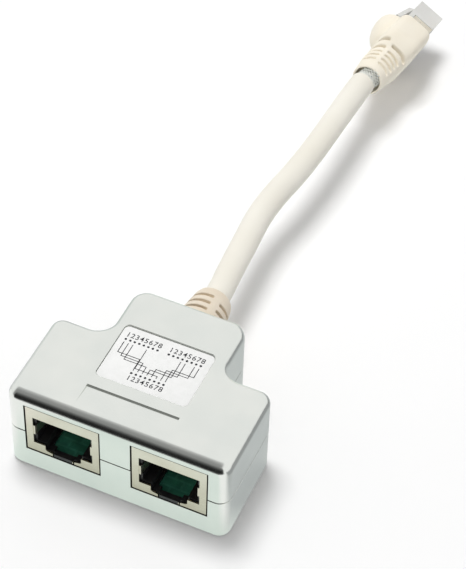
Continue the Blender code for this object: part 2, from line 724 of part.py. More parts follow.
def swept_wire(name, path, x, look, parent):
    """A square wire along (y, z) points in the plane of x."""
    half = WIRE / 2
    points = [Vector(point) for point in path]
    loops = []
    for k, point in enumerate(points):
        before = (point - points[k - 1]).normalized() if k else (points[1] - point).normalized()
        after = (points[k + 1] - point).normalized() if k < len(points) - 1 else before
        along = (before + after).normalized()
        stretch = 1 / max(along.dot(before), 0.5)
        normal = Vector((-along.y, along.x)) * half * stretch
        up, down = point + normal, point - normal
        above = [(x - half, up.x, up.y), (x + half, up.x, up.y)]
        below = [(x + half, down.x, down.y), (x - half, down.x, down.y)]
        loops.append(above + below)
    return loft(name, loops, look, parent)


def jack_contacts(side, frame):
    """Eight contacts, from a tail in the board, up the carrier's back, over it and back into the port."""
    top = CARRIER_TOP + WIRE_OFFSET
    front = CARRIER_FRONT - WIRE_OFFSET
    under = CARRIER_TOP - CARRIER_PLATE - WIRE_OFFSET
    tail_end = -FIT - BOARD_THICKNESS - TAIL_BELOW_BOARD
    bend = 0.35 * MM
    for k, (x, in_rear_row) in enumerate(contact_places(), start=1):
        tail = TAIL_Y if in_rear_row else TAIL_Y - TAIL_ROW_STEP
        knee = BODY_BOTTOM + bend
        path = [(tail, tail_end), (tail, knee - bend)]
        if not in_rear_row:
            path += [(tail + bend, knee), (TAIL_Y - bend, knee), (TAIL_Y, knee + bend)]
        path += [
            (TAIL_Y, top - bend),
            (TAIL_Y - bend, top),
            (front + bend, top),
            (front, top - bend),
            (front, under + bend),
            (front + bend, under),
            (front + bend + CONTACT_REACH * 0.25, under - CONTACT_DROP * 0.14),
            (front + bend + CONTACT_REACH, under - CONTACT_DROP),
        ]
        swept_wire(f"{side}_jack_contact_{k}", path, x, GOLD, frame)


def make_jack(side, centre):
    frame = bpy.data.objects.new(side + "_jack_frame", None)
    bpy.context.scene.collection.objects.link(frame)
    frame.location = (centre, JACK_FACE_Y, JACK_BOTTOM)
    jack_shield(side, frame)
    jack_body(side, frame)
    contact_carrier(side, frame)
    jack_contacts(side, frame)


def make_board():
    """A T-shaped board under the jacks, with a hole for each contact tail and shield leg."""
    half, neck = BOARD_WIDTH / 2, BOARD_NECK_WIDTH / 2
    right = [(half, BOARD_FRONT_Y), (half, BOARD_SHOULDER_Y), (neck, BOARD_SHOULDER_Y), (neck, BOARD_BACK_Y)]
    outline = right + [(-x, y) for x, y in reversed(right)]
    loops = [[(x, y, z) for x, y in outline] for z in (BOARD_BOTTOM, BOARD_TOP)]
    board = loft("circuit_board", loops, BOARD_GREEN)
    bm = bmesh.new()
    low, high = BOARD_BOTTOM - OVER, BOARD_TOP + OVER
    for centre in JACK_CENTRES.values():
        for x, in_rear_row in contact_places():
            y = JACK_FACE_Y + (TAIL_Y if in_rear_row else TAIL_Y - TAIL_ROW_STEP)
            ring = arc((centre + x, y), BOARD_HOLE / 2, 0, 315, 7)
            add_loft(bm, [[(px, py, z) for px, py in ring] for z in (low, high)])
        for hand in (-1, 1):
            x = centre + hand * (JACK_WIDTH - SHEET) / 2
            y = JACK_FACE_Y + JACK_DEPTH / 2
            across, along = LEG_SLOT_WIDTH / 2, LEG_SLOT_LENGTH / 2
            add_box(bm, (x - across, y - along, low), (x + across, y + along, high))
    cut(board, add_object("board_holes", bm))


def relief_frame():
    """The strain relief turns with the cable, so its spines point the same way as the plug's narrow sides."""
    frame = bpy.data.objects.new("relief_frame", None)
    bpy.context.scene.collection.objects.link(frame)
    frame.location = (0, BACK_Y, EXIT_HEIGHT)
    frame.rotation_euler = (0, -PLUG_ROLL, 0)
    return frame


def make_strain_relief():
    frame = relief_frame()
    inner_end = -WALL - FIT - RELIEF_FLANGE
    profile = [
        (BORE_RADIUS, inner_end),
        (RELIEF_FLANGE_RADIUS, inner_end),
        (RELIEF_FLANGE_RADIUS, inner_end + RELIEF_FLANGE),
        (RELIEF_NECK_RADIUS, inner_end + RELIEF_FLANGE),
        (RELIEF_NECK_RADIUS, FIT),
        (RELIEF_ROOT_RADIUS, FIT),
        (RELIEF_ROOT_RADIUS, FIT + 0.8 * MM),
        (RELIEF_TIP_RADIUS + 0.35 * MM, RELIEF_LENGTH - 1.4 * MM),
        (RELIEF_TIP_RADIUS, RELIEF_LENGTH - 0.4 * MM),
        (RELIEF_TIP_RADIUS - 0.3 * MM, RELIEF_LENGTH),
        (BORE_RADIUS, RELIEF_LENGTH),
    ]
    relief = turned("cable_strain_relief", profile, (0, 0), 32, MOULDED, frame)
    core = BORE_RADIUS + SLEEVE
    for side, count, start in (
        (1, RELIEF_SLOTS, RELIEF_SLOT_START),
        (-1, RELIEF_SLOTS - 1, RELIEF_SLOT_START + SLOT_PITCH / 2),
    ):
        cut(relief, slot_cutter("relief_slots", side, count, start, core, frame))


def slot_cutter(name, side, count, start, core, frame):
    """A row of slots, each half way round the tail from spine to spine, down to a sleeve of radius core."""
    reach = core + 5 * MM
    inner, outer = sorted((side * SPINE / 2, side * reach))
    corners = []
    for k in range(count):
        y = start + k * SLOT_PITCH
        corners.append(((-reach, y, inner), (reach, y + SLOT, outer)))
    slots = boxes(name, corners, parent=frame)
    end = start + count * SLOT_PITCH
    cut(slots, cylinder(name + "_core", (0, 0), core, start - OVER, end, 24, frame))
    return slots


def plug_frame():
    """The plug lies on its narrow side with its nose on the surface."""
    frame = bpy.data.objects.new("plug_frame", None)
    bpy.context.scene.collection.objects.link(frame)
    frame.rotation_mode = "YXZ"
    frame.location = MOUTH
    frame.rotation_euler = (-PLUG_PITCH, -PLUG_ROLL, -PLUG_YAW)
    return frame


def boot_section(y, half_width, half_height, squareness):
    """A rounded section: an ellipse at squareness 2, and nearer to a box the higher it is."""
    power = 2 / squareness
    points = []
    for k in range(40):
        c, s = math.cos(math.tau * (k + 0.5) / 40), math.sin(math.tau * (k + 0.5) / 40)
        x = half_width * math.copysign(abs(c) ** power, c)
        z = half_height * math.copysign(abs(s) ** power, s)
        points.append((x, y, z))
    return points


def boot_sections():
    """The round tail, its smooth change to the body round the plug's rear, and the body's rounded end."""
    edge = 0.3 * MM
    sections = [
        boot_section(0, MOUTH_RADIUS - edge, MOUTH_RADIUS - edge, 2),
        boot_section(edge, MOUTH_RADIUS, MOUTH_RADIUS, 2),
        boot_section(TAIL_LENGTH * 0.4, TAIL_RADIUS, TAIL_RADIUS, 2),
    ]
    steps = 6
    for k in range(steps + 1):
        share = k / steps
        swell = share * share * (3 - 2 * share)
        half_width = TAIL_RADIUS + (BOOT_HALF_WIDTH - TAIL_RADIUS) * swell
        half_height = TAIL_RADIUS + (BOOT_HALF_HEIGHT - TAIL_RADIUS) * swell
        y = TAIL_WIDENS + (TAIL_LENGTH - TAIL_WIDENS) * share
        sections.append(boot_section(y, half_width, half_height, 2 + (BOOT_SQUARENESS - 2) * swell))
    for y, inset in ((BOOT_LENGTH - 2 * edge, 0), (BOOT_LENGTH - edge / 2, edge / 3), (BOOT_LENGTH, edge)):
        sections.append(boot_section(y, BOOT_HALF_WIDTH - inset, BOOT_HALF_HEIGHT - inset, BOOT_SQUARENESS))
    return sections


def make_boot(frame):
    """A slotted tail that widens into a body round the plug's rear, with a hump over the latch's end."""
    boot = loft("plug_boot", boot_sections(), MOULDED, frame)
    join(boot, boot_bubble("boot_bubble", 0, frame))
    cut(boot, cylinder("boot_bore", (0, 0), SCREEN_BORE_RADIUS, -OVER, PLUG_REAR_Y + OVER, 24, frame))
    cut(boot, cylinder("boot_mouth", (0, 0), BORE_RADIUS, -OVER, MOUTH_DEPTH, 24, frame))
    half = PLUG_WIDTH / 2 + PLUG_FIT
    half_height = PLUG_TOP + PLUG_FIT
    seat = ((-half, PLUG_REAR_Y - PLUG_FIT, -half_height), (half, BOOT_LENGTH + OVER, half_height))
    cut(boot, boxes("boot_seat", [seat], parent=frame))
    cut(boot, boot_bubble("boot_latch_room", BUBBLE_WALL, frame))
    turned_frame = bpy.data.objects.new("boot_slot_frame", None)
    bpy.context.scene.collection.objects.link(turned_frame)
    turned_frame.parent = frame
    turned_frame.rotation_euler = (0, BOOT_SLOT_TURN, 0)
    core = SCREEN_BORE_RADIUS + 2 * SLEEVE
    for hand, start in ((1, BOOT_SLOT_START), (-1, BOOT_SLOT_START + BOOT_SLOT_PITCH / 2)):
        cut(boot, boot_slot_cutter(hand, start, core, turned_frame))


def boot_slot_cutter(hand, start, core, frame):
    """Short slots to one hand of a spine on both faces of the tail, down to a sleeve of radius core."""
    reach = 2 * core
    inner, outer = sorted((hand * BOOT_SPINE / 2, hand * reach))
    corners = []
    for k in range(BOOT_SLOTS):
        y = start + k * BOOT_SLOT_PITCH
        for low, high in ((BOOT_SLOT_RISE, reach), (-reach, -BOOT_SLOT_RISE)):
            corners.append(((inner, y, low), (outer, y + SLOT, high)))
    slots = boxes("boot_slots", corners, parent=frame)
    end = start + BOOT_SLOTS * BOOT_SLOT_PITCH
    cut(slots, cylinder("boot_slots_core", (0, 0), core, start - OVER, end, 24, frame))
    return slots


def boot_bubble(name, wall, frame):
    """Half of an egg, cut off at the boot's front edge. With a wall it is the room inside for the latch."""
    start = BOOT_LENGTH - BUBBLE_LENGTH + wall
    length = BUBBLE_LENGTH - wall + (OVER if wall else 0)
    base = PLUG_TOP - (0 if wall else 0.4 * MM)
    steps = 12
    loops = []
    for share in (0.03, 0.12, 0.26, 0.42, 0.6, 0.8, 1.0):
        swell = math.sqrt(1 - (1 - share) ** 2.4)
        half = BUBBLE_WIDTH / 2 * (0.35 + 0.65 * swell) - wall
        height = (BOOT_HALF_HEIGHT + BUBBLE_HEIGHT - wall - base) * swell
        angles = [math.pi * k / steps for k in range(steps + 1)]
        y = start + length * share
        loops.append([(half * math.cos(a), y, base + height * math.sin(a) ** 0.8) for a in angles])
    return loft(name, loops, parent=frame)


def make_plug(frame):
    """Clear plug body with its latch in one piece, a folded shield and eight blades."""
    half = PLUG_WIDTH / 2
    body = boxes("plug_body", [((-half, PLUG_REAR_Y, -PLUG_TOP), (half, NOSE_Y, PLUG_TOP))], CLEAR, frame)
    rebate = PLUG_SHEET + WIRE_FIT
    rear, front = PLUG_REAR_Y - OVER, PLUG_REAR_Y + PLUG_SHIELD_LENGTH + WIRE_FIT
    side_top = PLUG_TOP - SHIELD_DROP
    below = -PLUG_TOP - OVER
    rebates = {
        "left": ((-half - OVER, rear, below), (-half + rebate, front, side_top)),
        "right": ((half - rebate, rear, below), (half + OVER, front, side_top)),
        "under": ((-half - OVER, rear, below), (half + OVER, front, -PLUG_TOP + rebate)),
    }
    for label, corners in rebates.items():
        cut(body, boxes("plug_rebate_" + label, [corners], parent=frame))
    bore_end = PLUG_REAR_Y + SCREEN_IN_PLUG + FIT
    cut(body, cylinder("plug_bore", (0, 0), SCREEN_BORE_RADIUS, rear, bore_end, 24, frame))
    slots = []
    for x in contact_offsets():
        low = (x - BLADE_SLOT / 2, NOSE_Y - BLADE_SETBACK - BLADE_LENGTH - WIRE_FIT, below)
        high = (x + BLADE_SLOT / 2, NOSE_Y + OVER, -PLUG_TOP + BLADE_SETBACK + BLADE_HEIGHT)
        slots.append((low, high))
    cut(body, boxes("plug_blade_slots", slots, parent=frame))
    join(body, plug_latch(frame))
    make_plug_shield(frame)
    make_blades(frame)


def plug_latch(frame):
    """The latch springs from the top of the nose, rises to the rear and narrows behind its shoulders."""
    wide, tip = LATCH_WIDTH / 2, LATCH_TIP_WIDTH / 2
    slope = LATCH_RISE / LATCH_LENGTH
    root = LATCH_SETBACK + 1.2 * MM
    stations = [
        (LATCH_SETBACK, -LATCH_THICKNESS, wide),
        (root, slope * root, wide),
        (SHOULDER_BACK, slope * SHOULDER_BACK, wide),
        (SHOULDER_BACK + 0.1 * MM, slope * SHOULDER_BACK, tip),
        (LATCH_LENGTH, LATCH_RISE, tip),
    ]
    loops = []
    for back, rise, half in stations:
        y, low, high = NOSE_Y - back, PLUG_TOP + rise, PLUG_TOP + rise + LATCH_THICKNESS
        loops.append([(-half, y, low), (half, y, low), (half, y, high), (-half, y, high)])
    return loft("plug_latch", loops, parent=frame)


def make_plug_shield(frame):
    """A folded sheet round the plug's sides and underside, sitting in the body's rebate."""
    half = PLUG_WIDTH / 2
    top = PLUG_TOP - SHIELD_DROP - WIRE_FIT
    inner, floor = half - PLUG_SHEET, -PLUG_TOP + PLUG_SHEET
    left = [(-inner, floor), (-inner, top), (-half, top), (-half, -PLUG_TOP)]
    outline = left + [(-x, z) for x, z in reversed(left)]
    ends = (PLUG_REAR_Y + WIRE_FIT, PLUG_REAR_Y + PLUG_SHIELD_LENGTH)
    loft("plug_shield", [[(x, y, z) for x, z in outline] for y in ends], TINNED, frame)


def make_blades(frame):
    front = NOSE_Y - BLADE_SETBACK
    low = -PLUG_TOP + BLADE_SETBACK / 2
    for number, x in enumerate(contact_offsets(), start=1):
        corners = ((x - BLADE / 2, front - BLADE_LENGTH, low), (x + BLADE / 2, front, low + BLADE_HEIGHT))
        boxes(f"plug_contact_{number}", [corners], GOLD, frame)


def catmull_rom(points, spacing):
    """Points a spacing apart, more or less, on a smooth curve through the given points."""
    ends = [points[0] * 2 - points[1]] + points + [points[-1] * 2 - points[-2]]
    read = [points[0]]
    for a, b, c, d in zip(ends, ends[1:], ends[2:], ends[3:]):
        steps = max(1, round((c - b).length / spacing))
        for k in range(1, steps + 1):
            t = k / steps
            read.append(0.5 * (2 * b + (c - a) * t + (2 * a - 5 * b + 4 * c - d) * t ** 2
                               + (3 * b - a - 3 * c + d) * t ** 3))
    return read


def tube(name, points, radius, resolution, look):
    curve = bpy.data.curves.new(name, "CURVE")
    curve.dimensions = "3D"
    curve.bevel_depth = radius
    curve.bevel_resolution = resolution
    curve.use_fill_caps = True
    spline = curve.splines.new("POLY")
    spline.points.add(len(points) - 1)
    for place, point in zip(spline.points, points):
        place.co = (*point, 1.0)
    obj = bpy.data.objects.new(name, curve)
    bpy.context.scene.collection.objects.link(obj)
    curve.materials.append(material(name, look))
    return obj


def make_cable():
    """The jacket ends short of the boot's mouth, where the screened core bends up into the boot."""
    points = [Vector((0, CABLE_START_Y, EXIT_HEIGHT)), Vector((0, BACK_Y, EXIT_HEIGHT))]
    points += [Vector(point) * MM for point in CABLE_ROUTE]
    jacket = catmull_rom(points, CABLE_DIAMETER * 0.42)
    tube("cable", jacket, CABLE_RADIUS, 4, JACKET)
    turn = Matrix.Rotation(-PLUG_YAW, 3, "Z") @ Matrix.Rotation(-PLUG_PITCH, 3, "X")
    along = turn @ Vector((0, 1, 0))
    mouth = Vector(MOUTH)
    leaving = (jacket[-1] - jacket[-2]).normalized()
    start = jacket[-1] + leaving * FIT
    screen = [start, start + leaving * 2 * FIT]
    screen += [mouth + along * y for y in (MOUTH_DEPTH, PLUG_REAR_Y, PLUG_REAR_Y + SCREEN_IN_PLUG)]
    tube("cable_screen", catmull_rom(screen, SCREEN_DIAMETER * 0.42), SCREEN_DIAMETER / 2, 4, FOIL)


def make_conductors():
    """Eight conductors in two layers, from the cable's end to two rows of pads on the board's neck."""
    upper = (COPPER_ORANGE, COPPER_GREEN, COPPER_BLUE, COPPER_BROWN)
    lower = (COPPER_BLUE, COPPER_ORANGE, COPPER_GREEN, COPPER_BROWN)
    radius = CONDUCTOR_DIAMETER / 2
    start_y = CABLE_START_Y - FIT
    end_z = BOARD_TOP + FIT
    rise = 0.75 * MM
    layers = (
        (upper, EXIT_HEIGHT + rise, 2.0 * MM, CONDUCTOR_REACH),
        (lower, EXIT_HEIGHT - rise, 0.9 * MM, CONDUCTOR_REACH / 2),
    )
    number = 0
    for colours, z0, straight, reach in layers:
        for k, colour in enumerate(colours):
            number += 1
            place = k - (len(colours) - 1) / 2
            x0, x1 = place * CONDUCTOR_SPACING * CONDUCTOR_DIAMETER, place * PAD_PITCH
            y1 = start_y - reach
            points = [
                Vector((x0, start_y, z0)),
                Vector((x0, start_y - straight, z0)),
                Vector((x1, y1 + 0.4 * MM, (z0 + end_z) / 2)),
                Vector((x1, y1, end_z)),
            ]
            tube(f"conductor_{number}", catmull_rom(points, 1.1 * MM), radius, 1, colour)


clear_scene()
make_housing()
make_label()
for jack_side, jack_centre in JACK_CENTRES.items():
    make_jack(jack_side, jack_centre)
make_board()
make_strain_relief()
plug_place = plug_frame()
make_boot(plug_place)
make_plug(plug_place)
make_cable()
make_conductors()
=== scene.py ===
"""Looks of the RJ45 splitter adapter: camera, cable, finishes, label print, floor and light."""
import json
import math

import bmesh
import bpy
from mathutils import Matrix, Vector


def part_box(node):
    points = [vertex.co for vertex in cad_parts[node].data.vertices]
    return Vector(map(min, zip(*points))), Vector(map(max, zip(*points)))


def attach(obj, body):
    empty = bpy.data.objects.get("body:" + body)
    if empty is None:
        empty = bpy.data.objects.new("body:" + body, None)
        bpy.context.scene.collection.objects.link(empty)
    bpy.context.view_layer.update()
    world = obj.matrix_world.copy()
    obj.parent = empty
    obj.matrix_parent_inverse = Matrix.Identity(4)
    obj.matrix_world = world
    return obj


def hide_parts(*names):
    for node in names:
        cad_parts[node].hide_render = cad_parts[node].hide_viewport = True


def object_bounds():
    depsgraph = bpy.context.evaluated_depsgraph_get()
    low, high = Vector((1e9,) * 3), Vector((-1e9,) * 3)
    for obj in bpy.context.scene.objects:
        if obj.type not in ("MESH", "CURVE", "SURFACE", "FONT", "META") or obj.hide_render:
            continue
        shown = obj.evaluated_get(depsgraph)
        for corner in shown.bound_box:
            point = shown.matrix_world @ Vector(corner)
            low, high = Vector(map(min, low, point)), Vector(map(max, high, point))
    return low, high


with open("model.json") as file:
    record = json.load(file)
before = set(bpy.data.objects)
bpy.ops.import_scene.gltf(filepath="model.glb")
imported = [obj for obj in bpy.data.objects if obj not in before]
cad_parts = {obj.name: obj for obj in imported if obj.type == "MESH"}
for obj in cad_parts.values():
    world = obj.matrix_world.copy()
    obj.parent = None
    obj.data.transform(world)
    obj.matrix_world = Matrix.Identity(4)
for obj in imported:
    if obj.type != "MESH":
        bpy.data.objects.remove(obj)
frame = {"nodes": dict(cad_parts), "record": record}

MM = 0.001
ACROSS = (1.0, 0.0, 0.0)
BACKWARD = (0.0, 1.0, 0.0)
UP = (0.0, 0.0, 1.0)
cad_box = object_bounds()

# Camera, worked out from the photograph's 466 x 569 frame
PHOTO_HEIGHT = 569
FOCAL_PIXELS = 2033.12
SENSOR = 36.0
CLIP_NEAR, CLIP_FAR = 0.01, 10.0
CAMERA_PLACE = Vector((0.11307, -0.23341, 0.32866))
CAMERA_RIGHT = Vector((0.91167, 0.41010, 0.02600))
CAMERA_DOWN = Vector((0.31849, -0.66521, -0.67532))
CAMERA_FORWARD = Vector((-0.25965, 0.62395, -0.73707))

# Cable: the same route as the CAD tube's, in metres
CABLE_DIAMETER = 5.8 * MM
CABLE_ROUTE = [
    (0.0, 0.0102, 0.0122),
    (0.0, 0.0182, 0.0122),
    (0.0, 0.030, 0.0122),
    (-0.00045, 0.038, 0.0125),
    (-0.0008, 0.046, 0.0128),
    (-0.00115, 0.054, 0.0131),
    (-0.0006, 0.061, 0.0134),
    (0.0008, 0.069, 0.0138),
    (0.0018, 0.0775, 0.0141),
    (0.0024, 0.086, 0.0143),
    (0.0027, 0.094, 0.0140),
    (0.0029, 0.1005, 0.0135),
    (0.0031, 0.1043, 0.01325),
]
CABLE_SPACING = 0.5 * MM
CABLE_SIDES = 48
CABLE_THINNER = 0.03 * MM
CABLE_SWELL = 0.02 * MM
CABLE_WAVES = ((0.113, 0.0), (0.071, 1.3))  # radians from point to point, and at the start

# Bare braid between the jacket's end and the boot
BOOT_MOUTH = (0.0037, 0.1053, 0.0137)
BRAID_OVERLAP = 0.2 * MM
BRAID_DEPTH = 2.6 * MM
BRAID_RADIUS = 2.42 * MM
BRAID_WIRE = 0.07 * MM
BRAID_WIRES = 14
BRAID_LAY = 9.0 * MM
BRAID_STEPS = 26
BRAID_SIDES = 6
BRAID_STAND = 0.9  # in radii of a wire
BRAID_RIPPLE = 0.6
BRAID_RIPPLES = 9  # in a turn

# Pale sleeve behind the boot's slots
BOOT_ALONG = (0.0562, 0.9747, -0.2164)
LINING_START = 2.4 * MM
LINING_END = 14.4 * MM
LINING_RADIUS = 3.25 * MM
LINING_STEPS = 12
LINING_SIDES = 40

# Housing, as the CAD solids have it
FIT = 0.3 * MM
WALL = 1.8 * MM
HALF_WIDTH = 24.0 * MM
HALF_DEPTH = 18.2 * MM
HEIGHT = 21.7 * MM
SHOULDER_Y = 4.1 * MM
HALF_NECK = 12.6 * MM
FRONT_CORNER = 2.6 * MM
NECK_CORNER = 3.7 * MM
INNER_CORNER = 4.0 * MM
SMALLEST_CORNER = 0.3 * MM
TOP_ROUNDING = 2.3 * MM
BOTTOM_ROUNDING = 0.9 * MM
PARTING_HEIGHT = 11.0 * MM
PARTING_GAP = 0.3 * MM
LIP_THICKNESS = 0.7 * MM
LIP_HEIGHT = 1.0 * MM
JACK_CENTRES = (-11.6 * MM, 11.6 * MM)
JACK_HALF_WIDTH = 8.0 * MM
JACK_BOTTOM = 5.9 * MM
JACK_TOP = 18.7 * MM
EXIT_HEIGHT = 12.2 * MM
EXIT_RADIUS = 5.2 * MM
LABEL_HALF_WIDTH = 9.7 * MM
LABEL_FRONT = -6.7 * MM
LABEL_BACK = 7.2 * MM
LABEL_CORNER = 0.8 * MM
LABEL_RECESS = 0.75 * MM
GRIP_HALF_WIDTH = 10.0 * MM
GRIP_FRONT = -15.3 * MM
GRIP_BACK = -9.9 * MM
GRIP_STEP = 0.4 * MM

# How the housing's pieces are meshed
OVER = 1 * MM  # how far a cutter stands out
EDGE = 0.14 * MM
EDGE_MIDDLE = 0.3  # of a small edge's width, where its middle loop lies
CORNER_STEPS = 16
LABEL_STEPS = 10
TOP_STEPS = 14
BOTTOM_STEPS = 10
EXIT_TOP_STEPS, EXIT_BOTTOM_STEPS = 32, 28
SHELL_SHARP, PIECE_SHARP, SHEET_SHARP = 50, 40, 30  # degrees

# Black ring set into the parting gap, in front of the lip, as painted shade
SEAM_CLEARANCE = 0.02 * MM
SEAM_OUTER = 0.24 * MM
SEAM_INNER = 0.7 * MM

# Folded edges of the jacks' shields
JACK_FACE = -18.05 * MM
SILL_HALF_WIDTH = 2.1 * MM
SILL_TOP = JACK_BOTTOM + 0.75 * MM
FOLD_REACH = 7.6 * MM
FOLD_DROP = 0.5 * MM
FOLD_WIRE = 0.10 * MM
FOLD_STEPS = 8
FOLD_SIDES = 8

# Label sheet in its recess
SHEET_SNUG = 0.02 * MM
SHEET_LEFT_GAP = 0.13 * MM
SHEET_BACK_GAP = 0.2 * MM
SHEET_FOLD = 0.04 * MM

# Print on the label
INK_HEIGHT = 0.012 * MM
DOT_RADIUS = 0.27 * MM
DOT_SIDES = 24
DIGIT_SIZE = 1.75 * MM
DIGIT_BOLD = 0.015 * MM
DIGIT_FINENESS = 3
LINE_WIDTH = 0.17 * MM
SHARPEST_MITRE = 0.5
PINS = 8
PIN_PITCH = 1.0 * MM
FRONT_ROW_IN = 3.1 * MM
BACK_ROWS_IN = 3.3 * MM
BACK_LEFT = -4.9 * MM
BACK_RIGHT = 4.6 * MM
LINE_START = 0.75 * MM
LINE_PITCH = 0.62 * MM
LEFT_LINES = ((0, 4), (1, 3), (2, 2), (5, 0))  # pin and level
RIGHT_LINES = ((3, 1), (4, 2), (6, 3), (7, 4))
DIGITS_BEFORE = -1.35 * MM
DIGITS_BEHIND = 1.25 * MM

# CAD nodes that show: width and segments of their small edges, and the two softened mouldings
ROUNDED = (
    ("_jack_shield", 0.10 * MM, 3),
    ("_jack_body", 0.08 * MM, 2),
    ("_contact_carrier", 0.08 * MM, 2),
    ("plug_contact_", 0.05 * MM, 2),
    ("plug_body", 0.18 * MM, 3),
    ("plug_shield", 0.06 * MM, 2),
    ("circuit_board", 0.05 * MM, 2),
)
FLAT_BELOW = math.radians(1)
EDGE_ABOVE = math.radians(30)
SOFTENED = (("plug_boot", 0.17 * MM), ("cable_strain_relief", 0.14 * MM))  # voxel size
SOFT_SHARE = 0.5
SOFT_ROUNDS = 5

# Darkest and lightest colour of the mouldings and of the wires' sleeves
BOOT_IVORY = ((0.93, 0.86, 0.72), (0.955, 0.895, 0.765))
# The strain relief's ivory is darker than the boot's, as painted shade of its slots
RELIEF_SHADED_IVORY = ((0.77, 0.67, 0.53), (0.83, 0.74, 0.61))
SLEEVES = {
    "conductor_orange": ((0.70, 0.28, 0.04), (0.85, 0.40, 0.08)),
    "conductor_green": ((0.10, 0.34, 0.17), (0.20, 0.48, 0.28)),
    "conductor_blue": ((0.06, 0.14, 0.45), (0.12, 0.24, 0.62)),
    "conductor_brown": ((0.22, 0.10, 0.05), (0.36, 0.19, 0.09)),
}

# Floor: its greys, and the little light that the camera sees added to it
FLOOR_SIZE = 1.6
FLOOR_GAP = 0.05 * MM
FLOOR_SPOTS = 0.08
FLOOR_GREYS = ((0.3, 0.965), (0.7, 0.98))
FLOOR_LIFT = 0.03

# Painted reflections: greys that the floor glows with for first reflections only, at shares of the
# way from left to right:
# in front, behind, where they darken to the right as painted shade, and in a grey strip behind the
# left end
STUDIO_SHARE = 0.8
STUDIO_REACH = 50 * MM
STRAIGHT_BELOW = 0.5  # diffuse bounces on the way
MINT = (0.86, 0.96, 0.91)
FRONT_TONES = ((0.20, 1.1), (0.26, MINT), (0.73, MINT), (0.79, 1.1))
BACK_SHADE_TONES = (
    (0.54, MINT),
    (0.61, (0.56, 0.59, 0.59)),
    (0.84, (0.48, 0.51, 0.52)),
    (0.96, (0.22, 0.23, 0.24)),
)
FRONT_TO_BACK = ((0.5, 1.0, 0.0), -6 * MM, 4 * MM)
STRIP_GREY = (0.36, 0.37, 0.38)
STRIP_ACROSS = ((0.0, 0.45), (0.05, 1.0), (0.165, 1.0), (0.20, 0.0))
STRIP_BEHIND = (BACKWARD, -10 * MM, -4 * MM)

# Dark flag close before the front edge, a painted reflection that glows with its greys from its
# lower edge up
FLAG_LEFT = -27 * MM
FLAG_RIGHT = 28.5 * MM
FLAG_LOW = 18.3 * MM
FLAG_HIGH = 29.5 * MM
FLAG_DISTANCE = 5 * MM
FLAG_GLOW_GREYS = ((0.0, 0.40), (0.09, 0.10), (0.17, 0.012), (0.44, 0.02),
              (0.57, 0.065), (0.73, 0.13), (0.88, 0.20), (1.0, 0.26))

# Light: the world's level, the greys that first reflections see in it, and the key light
WORLD_LEVEL = 0.46
DARK_TOWARDS = (-0.275, -0.899, 0.342)
DARK_SIDE = (0.956, -0.292, 0.0)
DARK_ENDS_RIGHT = (0.26, 0.92)
DARK_ENDS_LEFT = (-0.54, -0.74)
WORLD_GREYS = ((0.0, 1.0), (0.06, 0.86), (0.16, 0.62), (0.30, 0.50),
               (0.5, 0.37), (0.62, 0.33), (0.73, 0.30), (1.0, 0.30))
KEY_POWER = 6.15
KEY_SIZE = 0.34
KEY_FROM = Vector((-0.20, 0.09, 1.0))


def link(obj):
    bpy.context.scene.collection.objects.link(obj)
    return obj


def make_camera():
    """The photograph's camera, as the fit gave it."""
    data = bpy.data.cameras.new("photo_camera")
    data.sensor_width = SENSOR
    data.lens = FOCAL_PIXELS / PHOTO_HEIGHT * SENSOR
    data.clip_start, data.clip_end = CLIP_NEAR, CLIP_FAR
    camera = link(bpy.data.objects.new("photo_camera", data))
    turn = Matrix((CAMERA_RIGHT, -CAMERA_DOWN, -CAMERA_FORWARD)).transposed().to_4x4()
    camera.matrix_world = Matrix.Translation(CAMERA_PLACE) @ turn
    bpy.context.scene.camera = camera


